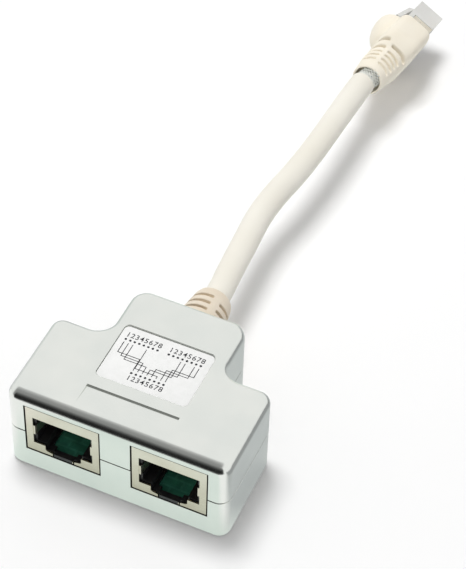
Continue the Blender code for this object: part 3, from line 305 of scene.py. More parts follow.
class Nodes:
    """A short way to write the nodes of a material or of the world."""

    def __init__(self, tree, coordinates):
        self.tree = tree
        self.where = self.add("ShaderNodeTexCoord").outputs[coordinates]

    def feed(self, socket, given):
        """Gives a socket another node's output, or a plain value or colour."""
        if isinstance(given, bpy.types.NodeSocket):
            self.tree.links.new(given, socket)
        elif socket.type == "RGBA":
            socket.default_value = (*given, 1.0)
        else:
            socket.default_value = given

    def add(self, kind, inputs=None, **settings):
        """A new node with its settings, and with its inputs by name or number."""
        node = self.tree.nodes.new(kind)
        for key, value in settings.items():
            setattr(node, key, value)
        for key, given in (inputs or {}).items():
            self.feed(node.inputs[key], given)
        return node

    def noise(self, size, detail=3.0, roughness=0.5, stretch=None):
        """Noise whose spots are about size across, in metres, and longer for a stretch below 1."""
        where = self.where
        if stretch:
            mapping = {"Vector": where, "Scale": stretch}
            where = self.add("ShaderNodeMapping", mapping).outputs["Vector"]
        inputs = {"Vector": where, "Scale": 1.0 / size, "Detail": detail, "Roughness": roughness}
        return self.add("ShaderNodeTexNoise", inputs).outputs["Fac"]

    def ramp(self, value, *stops):
        """Colours or greys at positions along a value."""
        node = self.add("ShaderNodeValToRGB", {"Fac": value})
        elements = node.color_ramp.elements
        while len(elements) < len(stops):
            elements.new(0.5)
        for element, (position, colour) in zip(elements, stops):
            rgb = colour if isinstance(colour, tuple) else (colour, colour, colour)
            element.position = position
            element.color = (*rgb, 1.0)
        return node.outputs["Color"]

    def mix(self, factor, one, two, blend="MIX"):
        inputs = {"Factor": factor, "A": one, "B": two}
        node = self.add("ShaderNodeMix", inputs, data_type="RGBA", blend_type=blend)
        return node.outputs["Result"]

    def bump(self, height, distance, strength=1.0, after=None):
        inputs = {"Height": height, "Distance": distance, "Strength": strength}
        if after is not None:
            inputs["Normal"] = after
        return self.add("ShaderNodeBump", inputs).outputs["Normal"]

    def calculate(self, operation, one, two):
        return self.add("ShaderNodeMath", {0: one, 1: two}, operation=operation).outputs["Value"]

    def reach(self, direction):
        """How far the place lies along a direction."""
        inputs = {0: self.where, 1: direction}
        return self.add("ShaderNodeVectorMath", inputs, operation="DOT_PRODUCT").outputs["Value"]

    def along(self, direction, low, high):
        """From 0 to 1 as the place goes from low to high along a direction."""
        inputs = {"Value": self.reach(direction), "From Min": low, "From Max": high}
        return self.add("ShaderNodeMapRange", inputs).outputs["Result"]

    def ray(self, kind):
        return self.add("ShaderNodeLightPath").outputs[kind]

    def seen(self):
        """1 for what the camera sees, also through the clear plug."""
        camera, through = self.ray("Is Camera Ray"), self.ray("Is Transmission Ray")
        return self.calculate("MAXIMUM", camera, through)

    def first_mirror(self):
        """1 for a glossy ray straight from what the camera sees, so that it lights nothing."""
        straight = self.calculate("LESS_THAN", self.ray("Diffuse Depth"), STRAIGHT_BELOW)
        return self.calculate("MULTIPLY", self.ray("Is Glossy Ray"), straight)

    def choose(self, factor, one, two):
        """One shader where the factor is 0, and the other where it is 1."""
        return self.add("ShaderNodeMixShader", {0: factor, 1: one, 2: two}).outputs["Shader"]


class Paint(Nodes):
    """A new material with its nodes and its shader."""

    def __init__(self, name):
        self.material = bpy.data.materials.new(name)
        self.material.use_nodes = True
        super().__init__(self.material.node_tree, "Object")
        self.shader = self.tree.nodes["Principled BSDF"]

    def set(self, **values):
        """Feeds the shader's sockets by name, with _ for a space, and returns the material."""
        for key, given in values.items():
            self.feed(self.shader.inputs[key.replace("_", " ")], given)
        return self.material


def metallised_plastic():
    """Bright satin plating over moulded plastic, a little cloudy, with a faint orange peel."""
    n = Paint("metallised_plastic")
    cloud = n.noise(9 * MM, detail=4.0)
    colour = n.ramp(cloud, (0.3, (0.735, 0.760, 0.725)), (0.7, (0.790, 0.805, 0.765)))
    rough = n.ramp(n.noise(3.5 * MM, detail=5.0, roughness=0.6), (0.3, 0.15), (0.75, 0.24))
    peel = n.bump(n.noise(1.3 * MM, detail=2.0), 0.02 * MM, 0.5)
    grain = n.bump(n.noise(0.12 * MM, detail=2.0), 0.004 * MM, 0.5, peel)
    return n.set(Base_Color=colour, Roughness=rough, Metallic=1.0, Normal=grain)


def label_paper():
    n = Paint("label_paper")
    stain = n.noise(1.6 * MM, detail=4.0)
    colour = n.ramp(stain, (0.35, (0.88, 0.885, 0.87)), (0.7, (0.93, 0.93, 0.92)))
    fibres = n.bump(n.noise(0.10 * MM), 0.006 * MM, 0.6)
    return n.set(Base_Color=colour, Roughness=0.5, Normal=fibres)


def label_ink():
    n = Paint("label_ink")
    fade = n.noise(0.35 * MM, detail=4.0)
    colour = n.ramp(fade, (0.3, (0.015, 0.016, 0.02)), (0.75, (0.06, 0.06, 0.065)))
    grain = n.bump(n.noise(0.1 * MM), 0.004 * MM)
    return n.set(Base_Color=colour, Roughness=0.55, Normal=grain)


def tinned_sheet():
    """Tin over brass sheet, with the fine marks of rolling, and darker towards its lower edge."""
    n = Paint("tinned_sheet")
    cloud = n.noise(4 * MM, detail=5.0)
    colour = n.ramp(cloud, (0.25, (0.70, 0.645, 0.545)), (0.75, (0.80, 0.755, 0.66)))
    rolled = n.noise(0.5 * MM, detail=4.0, roughness=0.6, stretch=(0.12, 1.0, 1.6))
    rough = n.ramp(rolled, (0.3, 0.24), (0.7, 0.42))
    # The colour darkens towards the shields' lower edge
    level = n.along(UP, JACK_BOTTOM, JACK_TOP)
    darker_below = n.ramp(level, (0.0, (0.72, 0.71, 0.66)), (0.25, (0.84, 0.83, 0.79)), (1.0, 1.0))
    colour = n.mix(1.0, colour, darker_below, "MULTIPLY")
    marks = n.bump(rolled, 0.008 * MM, 0.5)
    return n.set(Base_Color=colour, Roughness=rough, Metallic=1.0, Normal=marks)


def black_plastic():
    n = Paint("black_plastic")
    cloud = n.noise(1.2 * MM, detail=5.0)
    colour = n.ramp(cloud, (0.3, (0.010, 0.010, 0.012)), (0.8, (0.030, 0.029, 0.030)))
    rough = n.ramp(n.noise(0.8 * MM, detail=4.0), (0.3, 0.34), (0.7, 0.52))
    grain = n.bump(n.noise(0.15 * MM), 0.01 * MM, 0.5)
    return n.set(Base_Color=colour, Roughness=rough, Normal=grain)


def gold_plate():
    n = Paint("gold_plate")
    cloud = n.noise(1.1 * MM, detail=4.0)
    colour = n.ramp(cloud, (0.3, (0.80, 0.56, 0.20)), (0.75, (0.90, 0.68, 0.32)))
    rough = n.ramp(n.noise(0.3 * MM, detail=4.0), (0.3, 0.16), (0.75, 0.32))
    grain = n.bump(n.noise(0.2 * MM), 0.004 * MM)
    return n.set(Base_Color=colour, Roughness=rough, Metallic=1.0, Normal=grain)


def board_green():
    """Solder resist over copper, whose tracks show as lighter bands, with darker stains."""
    n = Paint("board_green")
    tracks = n.add("ShaderNodeTexBrick", {
        "Vector": n.where, "Scale": 120.0, "Mortar Size": 0.03, "Color1": (0.050, 0.300, 0.190),
        "Color2": (0.065, 0.350, 0.235), "Mortar": (0.090, 0.410, 0.285)})
    stains = n.ramp(n.noise(3.0 * MM, detail=4.0), (0.35, 0.6), (0.65, 1.0))
    colour = n.mix(1.0, tracks.outputs["Color"], stains, "MULTIPLY")
    relief = n.bump(tracks.outputs["Fac"], 0.02 * MM, 0.4)
    grain = n.bump(n.noise(0.4 * MM), 0.01 * MM, 0.3, relief)
    return n.set(Base_Color=colour, Roughness=0.28, Normal=grain)


def cable_jacket():
    """Ivory jacket: warm, satin, with faint draw marks along it and a slow change of tone."""
    n = Paint("cable_jacket")
    colour = n.ramp(n.noise(14 * MM), (0.3, (0.875, 0.84, 0.745)), (0.7, (0.915, 0.885, 0.80)))
    fine = n.noise(0.5 * MM, detail=4.0, roughness=0.55, stretch=(1.0, 0.15, 1.0))
    rough = n.ramp(fine, (0.3, 0.38), (0.7, 0.5))
    dents = n.bump(n.noise(3.2 * MM, detail=2.0), 0.10 * MM, 0.5)
    marks = n.bump(fine, 0.012 * MM, 0.6, dents)
    return n.set(Base_Color=colour, Roughness=rough, Normal=marks)


def moulded_ivory(name, dark, light):
    """The warmer, softer ivory of the boot and the strain relief."""
    n = Paint(name)
    colour = n.ramp(n.noise(5 * MM, detail=4.0), (0.3, dark), (0.72, light))
    rough = n.ramp(n.noise(1.0 * MM, detail=4.0), (0.3, 0.40), (0.7, 0.54))
    grain = n.bump(n.noise(0.18 * MM), 0.012 * MM, 0.6)
    return n.set(Base_Color=colour, Roughness=rough, Normal=grain)


def screen_foil():
    """Foil under a loose braid."""
    n = Paint("screen_foil")
    crumple = n.noise(0.9 * MM, detail=5.0, roughness=0.65)
    colour = n.ramp(crumple, (0.36, (0.34, 0.42, 0.42)), (0.44, (0.97, 0.985, 0.94)))
    rough = n.ramp(crumple, (0.3, 0.45), (0.7, 0.28))
    creases = n.bump(crumple, 0.15 * MM, 0.8)
    return n.set(Base_Color=colour, Roughness=rough, Metallic=0.05, Normal=creases)


def clear_plastic():
    """Clear moulded plastic of the plug, slightly grey and a little scuffed."""
    n = Paint("clear_plastic")
    colour = n.ramp(n.noise(3 * MM), (0.3, (0.93, 0.92, 0.88)), (0.7, (0.97, 0.965, 0.94)))
    rough = n.ramp(n.noise(1.2 * MM, detail=5.0), (0.3, 0.10), (0.75, 0.24))
    waves = n.bump(n.noise(1.5 * MM), 0.01 * MM, 0.5)
    return n.set(Base_Color=colour, Roughness=rough, IOR=1.5, Transmission_Weight=0.30,
                 Normal=waves)


def wire_sleeve(name, dark, light):
    n = Paint(name)
    colour = n.ramp(n.noise(1.5 * MM), (0.3, dark), (0.7, light))
    return n.set(Base_Color=colour, Roughness=0.4, Normal=n.bump(n.noise(0.3 * MM), 0.006 * MM))


def make_finishes():
    """Every finish by its slot in the record, and two more: the ink's, and the strain relief's
    ivory darkened as painted shade.
    """
    finishes = {
        "metallised_plastic": metallised_plastic(),
        "label": label_paper(),
        "label_ink": label_ink(),
        "tinned_sheet": tinned_sheet(),
        "black_plastic": black_plastic(),
        "gold_plate": gold_plate(),
        "board_green": board_green(),
        "cable_jacket": cable_jacket(),
        "moulded_ivory": moulded_ivory("moulded_ivory", *BOOT_IVORY),
        # the strain relief's ivory is darkened as painted shade of its slots
        "relief_shaded_ivory": moulded_ivory("relief_shaded_ivory", *RELIEF_SHADED_IVORY),
        "screen_foil": screen_foil(),
        "clear_plastic": clear_plastic(),
    }
    for name, (dark, light) in SLEEVES.items():
        finishes[name] = wire_sleeve(name, dark, light)
    return finishes


def dress(obj, finish):
    obj.data.materials.clear()
    obj.data.materials.append(finish)


def keep(obj, finish, replaces=()):
    """Makes an object a piece of the part, which may stand for CAD nodes."""
    dress(obj, finish)
    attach(obj, "root")
    if replaces:
        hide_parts(*replaces)


def mesh_object(name, bm):
    mesh = bpy.data.meshes.new(name)
    bm.to_mesh(mesh)
    bm.free()
    return link(bpy.data.objects.new(name, mesh))


def smooth_below(obj, degrees):
    """Smooth shading, but sharp where an edge turns by more than an angle."""
    obj.data.shade_smooth()
    obj.data.set_sharp_from_angle(angle=math.radians(degrees))


def mesh_piece(name, bm, finish, replaces=()):
    obj = mesh_object(name, bm)
    smooth_below(obj, PIECE_SHARP)
    keep(obj, finish, replaces)
    return obj


def modify(obj, name, kind, **settings):
    modifier = obj.modifiers.new(name, kind)
    for key, value in settings.items():
        setattr(modifier, key, value)


def as_mesh(obj):
    """A new mesh of the object as its modifiers or its curves make it."""
    bpy.context.view_layer.update()
    made = obj.evaluated_get(bpy.context.evaluated_depsgraph_get())
    return bpy.data.meshes.new_from_object(made)


def catmull_rom(points, spacing):
    """Points a spacing apart, more or less, on a smooth curve through the given points."""
    ends = [points[0] * 2 - points[1]] + points + [points[-1] * 2 - points[-2]]
    read = [points[0]]
    for a, b, c, d in zip(ends, ends[1:], ends[2:], ends[3:]):
        steps = max(1, round((c - b).length / spacing))
        for k in range(1, steps + 1):
            t = k / steps
            read.append(0.5 * (2 * b + (c - a) * t + (2 * a - 5 * b + 4 * c - d) * t ** 2
                               + (3 * b - a - 3 * c + d) * t ** 3))
    return read


def swept_tube(bm, points, radii, sides):
    """A closed tube along points, with a ring of its own radius at each."""
    across = Vector(ACROSS)
    rings = []
    for k, point in enumerate(points):
        ahead = points[min(k + 1, len(points) - 1)] - points[max(k - 1, 0)]
        along = ahead.normalized()
        across = (across - along * across.dot(along)).normalized()
        upwards = across.cross(along)
        ring = []
        for j in range(sides):
            a = 2 * math.pi * j / sides
            out = across * math.cos(a) + upwards * math.sin(a)
            ring.append(bm.verts.new(point + out * radii[k]))
        rings.append(ring)
    for one, two in zip(rings, rings[1:]):
        for j in range(sides):
            i = (j + 1) % sides
            bm.faces.new((one[j], one[i], two[i], two[j]))
    bm.faces.new(list(reversed(rings[0])))
    bm.faces.new(rings[-1])
    bmesh.ops.recalc_face_normals(bm, faces=bm.faces)


def make_cable(finishes):
    """The jacket follows the CAD tube, and swells and thins by some hundredths of a millimetre."""
    points = catmull_rom([Vector(point) for point in CABLE_ROUTE], CABLE_SPACING)
    radii = []
    for k in range(len(points)):
        wave = sum(math.sin(k * pace + start) for pace, start in CABLE_WAVES)
        radii.append(CABLE_DIAMETER / 2 - CABLE_THINNER + CABLE_SWELL * wave)
    bm = bmesh.new()
    swept_tube(bm, points, radii, CABLE_SIDES)
    jacket = mesh_piece("cable_jacket", bm, finishes["cable_jacket"], ["cable"])


def make_braid(finishes):
    """Loose wires of the braid round the foil, where the screen is bare before the boot."""
    start, end = Vector(CABLE_ROUTE[-1]), Vector(BOOT_MOUTH)
    along = (end - start).normalized()
    start, end = start - along * BRAID_OVERLAP, end + along * BRAID_DEPTH
    length = (end - start).length
    across = along.cross(Vector(UP)).normalized()
    upwards = across.cross(along)
    turn = 2 * math.pi
    bm = bmesh.new()
    for hand in (-1, 1):
        for k in range(BRAID_WIRES):
            points = []
            for j in range(BRAID_STEPS + 1):
                share = j / BRAID_STEPS
                a = turn * k / BRAID_WIRES + hand * share * length / BRAID_LAY * turn
                ripple = BRAID_RIPPLE * math.sin(BRAID_RIPPLES * a + hand * k)
                out = across * math.cos(a) + upwards * math.sin(a)
                radius = BRAID_RADIUS + BRAID_WIRE * (BRAID_STAND + ripple)
                points.append(start + along * length * share + out * radius)
            swept_tube(bm, points, [BRAID_WIRE] * len(points), BRAID_SIDES)
    mesh_piece("screen_braid", bm, finishes["screen_foil"])


def make_lining(finishes):
    """The ivory sleeve under the boot's slots, round the screen."""
    mouth, along = Vector(BOOT_MOUTH), Vector(BOOT_ALONG).normalized()
    points = [mouth + along * (LINING_START + (LINING_END - LINING_START) * k / LINING_STEPS)
              for k in range(LINING_STEPS + 1)]
    bm = bmesh.new()
    swept_tube(bm, points, [LINING_RADIUS] * len(points), LINING_SIDES)
    mesh_piece("boot_lining", bm, finishes["moulded_ivory"])


def make_shield_edges(finishes):
    """Each shield's folded edges: round the sill under the latch's channel, and along the top."""
    front = JACK_FACE - FOLD_WIRE / 2
    bm = bmesh.new()
    for centre in JACK_CENTRES:
        left, right = centre - SILL_HALF_WIDTH, centre + SILL_HALF_WIDTH
        corner = Vector((right, front, SILL_TOP))
        fold = [Vector((centre + side, JACK_FACE, JACK_TOP - FOLD_DROP))
                for side in (-FOLD_REACH, FOLD_REACH)]
        for start, end in ((Vector((left, front, SILL_TOP)), corner),
                           (corner, Vector((right, front, JACK_BOTTOM + 2 * FOLD_WIRE))), fold):
            points = [start.lerp(end, k / FOLD_STEPS) for k in range(FOLD_STEPS + 1)]
            swept_tube(bm, points, [FOLD_WIRE] * len(points), FOLD_SIDES)
    mesh_piece("shield_edges", bm, finishes["tinned_sheet"])


def arc(centre, radius, start, end, steps):
    """Points of an arc in degrees, both ends included."""
    points = []
    for k in range(steps + 1):
        a = math.radians(start + (end - start) * k / steps)
        points.append((centre[0] + radius * math.cos(a), centre[1] + radius * math.sin(a)))
    return points


def housing_outline(inset):
    """The housing's T seen from above, counter-clockwise from the front left corner."""
    points = []

    def convex(x, y, radius, inward_x, inward_y, start):
        r = max(radius - inset, SMALLEST_CORNER)
        centre = (x + inward_x * (inset + r), y + inward_y * (inset + r))
        points.extend(arc(centre, r, start, start + 90, CORNER_STEPS))

    def concave(x, outward, start):
        centre = (x + outward * INNER_CORNER, SHOULDER_Y + INNER_CORNER)
        points.extend(arc(centre, INNER_CORNER + inset, start, start - 90, CORNER_STEPS))

    convex(-HALF_WIDTH, -HALF_DEPTH, FRONT_CORNER, 1, 1, 180)
    convex(HALF_WIDTH, -HALF_DEPTH, FRONT_CORNER, -1, 1, 270)
    convex(HALF_WIDTH, SHOULDER_Y, FRONT_CORNER, -1, -1, 0)
    concave(HALF_NECK, 1, 270)
    convex(HALF_NECK, HALF_DEPTH, NECK_CORNER, -1, -1, 0)
    convex(-HALF_NECK, HALF_DEPTH, NECK_CORNER, 1, -1, 90)
    concave(-HALF_NECK, -1, 360)
    convex(-HALF_WIDTH, SHOULDER_Y, FRONT_CORNER, 1, -1, 90)
    return points


def rounded_rectangle(half_width, low, high, radius):
    points = []
    for x, y, start in ((half_width - radius, low + radius, -90),
                        (half_width - radius, high - radius, 0),
                        (-half_width + radius, high - radius, 90),
                        (-half_width + radius, low + radius, 180)):
        points += arc((x, y), radius, start, start + 90, LABEL_STEPS)
    return points


def rounding(radius, flat, wall, steps):
    """Inset and height of a quarter round's loops, from the wall to the flat at its height.

    The wall lies below the flat where wall is -1, and above it where wall is 1.
    """
    stations = []
    for k in range(1, steps + 1):
        a = math.radians(90 * k / steps)
        stations.append((radius * (1 - math.cos(a)), flat + wall * radius * (1 - math.sin(a))))
    return stations


def small_edge(width, flat, wall):
    """Inset and height of a small edge's three loops, from the flat to the wall."""
    middle = EDGE_MIDDLE * width
    return [(width, flat), (middle, flat + wall * middle), (0.0, flat + wall * width)]


def loft(name, loops, closed=False):
    """A solid through loops of equal length, capped at its ends or closed into a ring."""
    bm = bmesh.new()
    rings = [[bm.verts.new(point) for point in loop] for loop in loops]
    count = len(rings[0])
    for one, two in zip(rings, rings[1:] + rings[:1] if closed else rings[1:]):
        for i in range(count):
            j = (i + 1) % count
            bm.faces.new((one[i], one[j], two[j], two[i]))
    if not closed:
        bm.faces.new(list(reversed(rings[0])))
        bm.faces.new(rings[-1])
    bmesh.ops.recalc_face_normals(bm, faces=bm.faces)
    return mesh_object(name, bm)


def stack(name, outline, stations, closed=False):
    """A solid through an outline at each station's inset and height."""
    loops = [[(x, y, z) for x, y in outline(inset)] for inset, z in stations]
    return loft(name, loops, closed)


def recess_cutter():
    """The label's recess, whose mouth opens out a little, so that it has a rounded edge."""
    def outline(margin):
        reach = FIT + margin
        return rounded_rectangle(LABEL_HALF_WIDTH + reach, LABEL_FRONT - reach,
                                 LABEL_BACK + reach, LABEL_CORNER + reach)

    edge = small_edge(EDGE, HEIGHT, -1)[::-1]
    stations = [(0.0, HEIGHT - LABEL_RECESS)] + edge + [(EDGE + OVER, HEIGHT + OVER)]
    return stack("recess_cutter", outline, stations)


def grip_cutter():
    """A ramp that runs down from the front and ends in a step."""
    profile = [(GRIP_BACK, HEIGHT - GRIP_STEP), (GRIP_BACK, HEIGHT - EDGE / 2),
               (GRIP_BACK + EDGE, HEIGHT + EDGE / 2), (GRIP_BACK + EDGE, HEIGHT + OVER),
               (GRIP_FRONT, HEIGHT + OVER), (GRIP_FRONT, HEIGHT)]
    sides = (-GRIP_HALF_WIDTH, GRIP_HALF_WIDTH)
    return loft("grip_cutter", [[(x, y, z) for y, z in profile] for x in sides])


def jack_cutter(centre):
    """The opening round a jack's face, with its outer edge a little rounded."""
    half = JACK_HALF_WIDTH + FIT
    low, high = JACK_BOTTOM - FIT, JACK_TOP + FIT
    loops = []
    for margin, y in ((0.0, -HALF_DEPTH + WALL + OVER), (0.0, -HALF_DEPTH + EDGE / 2),
                      (EDGE / 2, -HALF_DEPTH), (EDGE / 2, -HALF_DEPTH - OVER)):
        left, right = centre - half - margin, centre + half + margin
        bottom, top = low - margin, high + margin
        loops.append([(left, y, bottom), (right, y, bottom), (right, y, top), (left, y, top)])
    return loft("jack_cutter", loops)


def exit_cutter():
    """The hole for the strain relief's neck, open to the parting line."""
    bottom = PARTING_HEIGHT - 2 * PARTING_GAP
    dip = math.degrees(math.asin((EXIT_HEIGHT - bottom) / EXIT_RADIUS))
    centre = (0, EXIT_HEIGHT)
    outline = arc(centre, EXIT_RADIUS, 0, 180, EXIT_TOP_STEPS)
    outline += [(-EXIT_RADIUS, bottom)]
    outline += arc(centre, EXIT_RADIUS, 180 + dip, 360 - dip, EXIT_BOTTOM_STEPS)
    outline += [(EXIT_RADIUS, bottom)]
    ends = (HALF_DEPTH - WALL - OVER, HALF_DEPTH + OVER)
    return loft("exit_cutter", [[(x, y, z) for x, z in outline] for y in ends])


def opening_cutters():
    return [jack_cutter(centre) for centre in JACK_CENTRES] + [exit_cutter()]


def carve(target, cutters):
    """Takes the cutters off the target and keeps the result as its own mesh."""
    for cutter in cutters:
        modify(target, "cut", "BOOLEAN", operation="DIFFERENCE", solver="EXACT", object=cutter)
    shape = as_mesh(target)
    target.modifiers.clear()
    target.data = shape


def remove(objects):
    for obj in objects:
        bpy.data.objects.remove(obj)


def make_shells(finishes):
    """The two shells with fine roundings, because plating shows every facet."""
    rim_up, rim_down = PARTING_HEIGHT + PARTING_GAP / 2, PARTING_HEIGHT - PARTING_GAP / 2
    lip, lip_top = WALL - LIP_THICKNESS, PARTING_HEIGHT + LIP_HEIGHT
    rebate, rebate_top = lip - FIT, lip_top + FIT
    upper = stack("housing_top", housing_outline, [
        (WALL, HEIGHT - WALL), (WALL, rebate_top), (rebate, rebate_top), (rebate, rim_up),
        *small_edge(EDGE / 2, rim_up, 1), (0.0, HEIGHT - TOP_ROUNDING),
        *rounding(TOP_ROUNDING, HEIGHT, -1, TOP_STEPS)])
    lower = stack("housing_base", housing_outline, [
        (WALL, WALL), (WALL, lip_top), (lip, lip_top), (lip, rim_down),
        *small_edge(EDGE / 2, rim_down, -1), (0.0, BOTTOM_ROUNDING),
        *rounding(BOTTOM_ROUNDING, 0.0, 1, BOTTOM_STEPS)])
    openings, hollows = opening_cutters(), [recess_cutter(), grip_cutter()]
    carve(upper, openings + hollows)
    carve(lower, openings)
    remove(openings + hollows)
    for shell, node in ((upper, "upper_shell"), (lower, "lower_shell")):
        smooth_below(shell, SHELL_SHARP)
        modify(shell, "even_normals", "WEIGHTED_NORMAL", keep_sharp=True)
        keep(shell, finishes["metallised_plastic"], [node])


def make_seam(finishes):
    """A black ring set into the parting gap, in front of the lip, as painted shade: it shows as a
    dark line round the housing.
    """
    half = PARTING_GAP / 2 - SEAM_CLEARANCE
    low, high = PARTING_HEIGHT - half, PARTING_HEIGHT + half
    stations = ((SEAM_INNER, low), (SEAM_OUTER, low), (SEAM_OUTER, high), (SEAM_INNER, high))
    seam = stack("parting_gap_shade", housing_outline, stations, closed=True)
    cutters = opening_cutters()
    carve(seam, cutters)
    remove(cutters)
    keep(seam, finishes["black_plastic"])


def make_label_sheet(finishes):
    """The printed sheet, with a fine gap to its recess's edge at the back and the left."""
    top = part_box("wiring_label")[1][2]
    bottom = HEIGHT - LABEL_RECESS + SHEET_SNUG
    left = -LABEL_HALF_WIDTH - FIT + SHEET_LEFT_GAP
    right = LABEL_HALF_WIDTH + FIT - SHEET_SNUG
    front, back = LABEL_FRONT - FIT + SHEET_SNUG, LABEL_BACK + FIT - SHEET_BACK_GAP
    middle, half = (left + right) / 2, (right - left) / 2

    def outline(inset):
        corner = LABEL_CORNER + FIT - inset
        loop = rounded_rectangle(half - inset, front + inset, back - inset, corner)
        return [(middle + x, y) for x, y in loop]

    edge = small_edge(SHEET_FOLD, top, -1)[::-1]
    sheet = stack("label_sheet", outline, [(0.0, bottom)] + edge)
    smooth_below(sheet, SHEET_SHARP)
    keep(sheet, finishes["label"], ["wiring_label"])


def add_plate(bm, outline, low, high):
    """A thin closed plate of ink with the given outline."""
    under = [bm.verts.new((x, y, low)) for x, y in outline]
    over = [bm.verts.new((x, y, high)) for x, y in outline]
    for i in range(len(outline)):
        j = (i + 1) % len(outline)
        bm.faces.new((under[i], under[j], over[j], over[i]))
    bm.faces.new(list(reversed(under)))
    bm.faces.new(over)


def line_outline(points):
    """The outline of a printed line through points, with mitred corners."""
    points = [Vector(point) for point in points]
    left, right = [], []
    for k, point in enumerate(points):
        before = (point - points[k - 1] if k else points[1] - point).normalized()
        after = (points[k + 1] - point).normalized() if k < len(points) - 1 else before
        along = (before + after).normalized()
        mitre = max(along.dot(before), SHARPEST_MITRE)
        across = Vector((-along.y, along.x)) * LINE_WIDTH / 2 / mitre
        left.append(tuple(point + across))
        right.append(tuple(point - across))
    return right + left[::-1]


def pin_rows():
    """Three rows of pins: one along the label's front, two side by side along its back."""
    offsets = [(k - (PINS - 1) / 2) * PIN_PITCH for k in range(PINS)]
    front_y, back_y = LABEL_FRONT + FRONT_ROW_IN, LABEL_BACK - BACK_ROWS_IN
    rows = ((0.0, front_y), (BACK_LEFT, back_y), (BACK_RIGHT, back_y))
    return [[(x + shift, y) for x in offsets] for shift, y in rows]


def add_digit(bm, number, place, low, high):
    data = bpy.data.curves.new("digit", "FONT")
    data.body = str(number)
    data.size = DIGIT_SIZE
    data.align_x = data.align_y = "CENTER"
    data.extrude = (high - low) / 2
    data.offset = DIGIT_BOLD
    data.resolution_u = DIGIT_FINENESS
    text = link(bpy.data.objects.new("digit", data))
    mesh = as_mesh(text)
    mesh.transform(Matrix.Translation((*place, (low + high) / 2)))
    bm.from_mesh(mesh)
    remove([text])


def make_print(finishes):
    """A plain wiring diagram: numbered rows of dots, and stepped lines from front to back."""
    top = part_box("wiring_label")[1][2]
    low, high = top - INK_HEIGHT / 2, top + INK_HEIGHT
    front, back_left, back_right = pin_rows()
    diagram = bmesh.new()
    last = 360 - 360 / DOT_SIDES
    for place in front + back_left + back_right:
        add_plate(diagram, arc(place, DOT_RADIUS, 0, last, DOT_SIDES - 1), low, high)
    for row, lines, lift in ((back_left, LEFT_LINES, 0.0),
                             (back_right, RIGHT_LINES, LINE_PITCH / 2)):
        for pin, level in lines:
            (x, y), (end_x, end_y) = front[pin], row[pin]
            start, end = y + LINE_START, end_y - LINE_START
            turn = start + (level + 1) * LINE_PITCH + lift
            path = [(x, start), (x, turn), (end_x, turn), (end_x, end)]
            add_plate(diagram, line_outline(path), low, high)
    bmesh.ops.recalc_face_normals(diagram, faces=diagram.faces)
    mesh_piece("label_diagram", diagram, finishes["label_ink"])
    digits = bmesh.new()
    for row, shift in ((front, DIGITS_BEFORE), (back_left, DIGITS_BEHIND),
                       (back_right, DIGITS_BEHIND)):
        for number, (x, y) in enumerate(row, start=1):
            add_digit(digits, number, (x, y + shift), low, high)
    mesh_piece("label_digits", digits, finishes["label_ink"])


def crisp(obj, width, segments):
    """Merges a flat face's triangles, then rounds the node's edges a little."""
    modify(obj, "merge_flats", "DECIMATE", decimate_type="DISSOLVE", angle_limit=FLAT_BELOW)
    modify(obj, "small_edges", "BEVEL", width=width, segments=segments, limit_method="ANGLE",
           angle_limit=EDGE_ABOVE, use_clamp_overlap=True)
    modify(obj, "even_normals", "WEIGHTED_NORMAL", keep_sharp=True)


def soften(obj, voxel):
    """Remeshes a moulding finely and smooths it, so that its edges look moulded and not cut."""
    modify(obj, "fine_mesh", "REMESH", mode="VOXEL", voxel_size=voxel, use_smooth_shade=True)
    modify(obj, "soft_edges", "SMOOTH", factor=SOFT_SHARE, iterations=SOFT_ROUNDS)


def shape_nodes():
    """Small rounded edges on the CAD nodes that show, and softer ones on the two mouldings."""
    for name, obj in frame["nodes"].items():
        for words, width, segments in ROUNDED:
            if words in name:
                crisp(obj, width, segments)
    for name, voxel in SOFTENED:
        soften(frame["nodes"][name], voxel)


def dress_nodes(finishes):
    """Every CAD node that stays gets its slot's finish, and the strain relief an ivory darkened as
    painted shade of its slots.
    """
    slots = {row["node"]: row["material_slot"] for row in frame["record"]["subparts"]}
    slots["cable_strain_relief"] = "relief_shaded_ivory"
    for name, obj in frame["nodes"].items():
        dress(obj, finishes[slots[name]])


def make_floor():
    """A plain pale floor with the object's shadow, which glows for first reflections alone with
    painted reflections and painted shade.
    """
    bm = bmesh.new()
    bmesh.ops.create_grid(bm, x_segments=1, y_segments=1, size=FLOOR_SIZE / 2)
    floor = mesh_object("studio_floor", bm)
    floor.location = (0, 0, -FLOOR_GAP)
    n = Paint("floor_paint")
    dress(floor, n.set(Base_Color=n.ramp(n.noise(FLOOR_SPOTS), *FLOOR_GREYS), Roughness=0.9,
                       Specular_IOR_Level=0.0, Emission_Color=(1.0, 1.0, 1.0),
                       Emission_Strength=n.calculate("MULTIPLY", n.seen(), FLOOR_LIFT)))
    # Painted reflections: greys the floor glows with for first reflections only, darker behind on
    # the right as painted shade
    across = n.along(ACROSS, -STUDIO_REACH, STUDIO_REACH)
    front, back = n.ramp(across, *FRONT_TONES), n.ramp(across, *BACK_SHADE_TONES)
    tones = n.mix(n.along(*FRONT_TO_BACK), front, back)
    strip = n.calculate("MULTIPLY", n.ramp(across, *STRIP_ACROSS), n.along(*STRIP_BEHIND))
    glow = n.add("ShaderNodeEmission", {"Color": n.mix(strip, tones, STRIP_GREY)})
    share = n.calculate("MULTIPLY", n.first_mirror(), STUDIO_SHARE)
    both = n.choose(share, n.shader.outputs["BSDF"], glow.outputs["Emission"])
    n.feed(n.tree.nodes["Material Output"].inputs["Surface"], both)


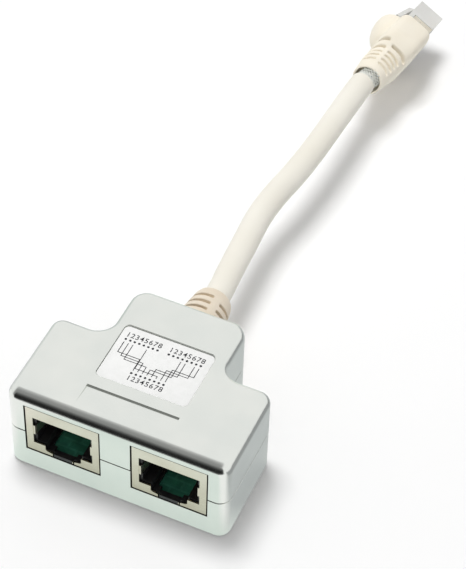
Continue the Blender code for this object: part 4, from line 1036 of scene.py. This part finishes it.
def make_flag():
    """A small dark flag that glows with greys, which only reflections see: a painted reflection of
    the dark band over the jacks.
    """
    front = -HALF_DEPTH - FLAG_DISTANCE
    corners = ((FLAG_LEFT, FLAG_LOW), (FLAG_RIGHT, FLAG_LOW),
               (FLAG_RIGHT, FLAG_HIGH), (FLAG_LEFT, FLAG_HIGH))
    bm = bmesh.new()
    bm.faces.new([bm.verts.new((x, front, z)) for x, z in corners])
    flag = mesh_object("studio_flag", bm)
    flag.visible_camera = False
    flag.visible_diffuse = False
    flag.visible_shadow = False
    flag.visible_transmission = False
    n = Paint("flag_painted_reflection")
    # The flag's glowing greys are a painted reflection
    greys = n.ramp(n.along(UP, FLAG_LOW, FLAG_HIGH), *FLAG_GLOW_GREYS)
    dress(flag, n.set(Base_Color=(0.0, 0.0, 0.0), Specular_IOR_Level=0.0, Roughness=1.0,
                      Emission_Color=greys, Emission_Strength=1.0))


def make_key():
    """A soft light from above and a little from the left, which no reflection shows."""
    data = bpy.data.lights.new("key_light", "AREA")
    data.energy = KEY_POWER
    data.size = KEY_SIZE
    key = link(bpy.data.objects.new("key_light", data))
    key.location = (cad_box[0] + cad_box[1]) / 2 + KEY_FROM
    key.rotation_euler = (-KEY_FROM).to_track_quat("-Z", "Y").to_euler()
    key.visible_glossy = False


def make_world():
    """Soft even light. The camera sees white, and first reflections see greys, dark in front."""
    world = bpy.data.worlds.new("studio_world")
    bpy.context.scene.world = world
    world.use_nodes = True
    world.node_tree.nodes.clear()
    n = Nodes(world.node_tree, "Generated")

    def background(strength, colour=(1.0, 1.0, 1.0)):
        inputs = {"Color": colour, "Strength": strength}
        return n.add("ShaderNodeBackground", inputs).outputs["Background"]

    ends = [n.along(DARK_SIDE, *limits) for limits in (DARK_ENDS_RIGHT, DARK_ENDS_LEFT)]
    darkness = n.calculate("SUBTRACT", n.reach(DARK_TOWARDS), n.calculate("ADD", *ends))
    studio = background(1.0, n.ramp(darkness, *WORLD_GREYS))
    unseen = n.choose(n.first_mirror(), background(WORLD_LEVEL), studio)
    n.add("ShaderNodeOutputWorld", {"Surface": n.choose(n.seen(), unseen, background(1.0))})


make_camera()
finishes = make_finishes()
make_braid(finishes)
make_lining(finishes)
make_shield_edges(finishes)
make_cable(finishes)
make_shells(finishes)
make_seam(finishes)
make_label_sheet(finishes)
make_print(finishes)
shape_nodes()
dress_nodes(finishes)
make_floor()
make_flag()
make_key()
make_world()
bpy.context.scene.view_settings.view_transform = "Standard"
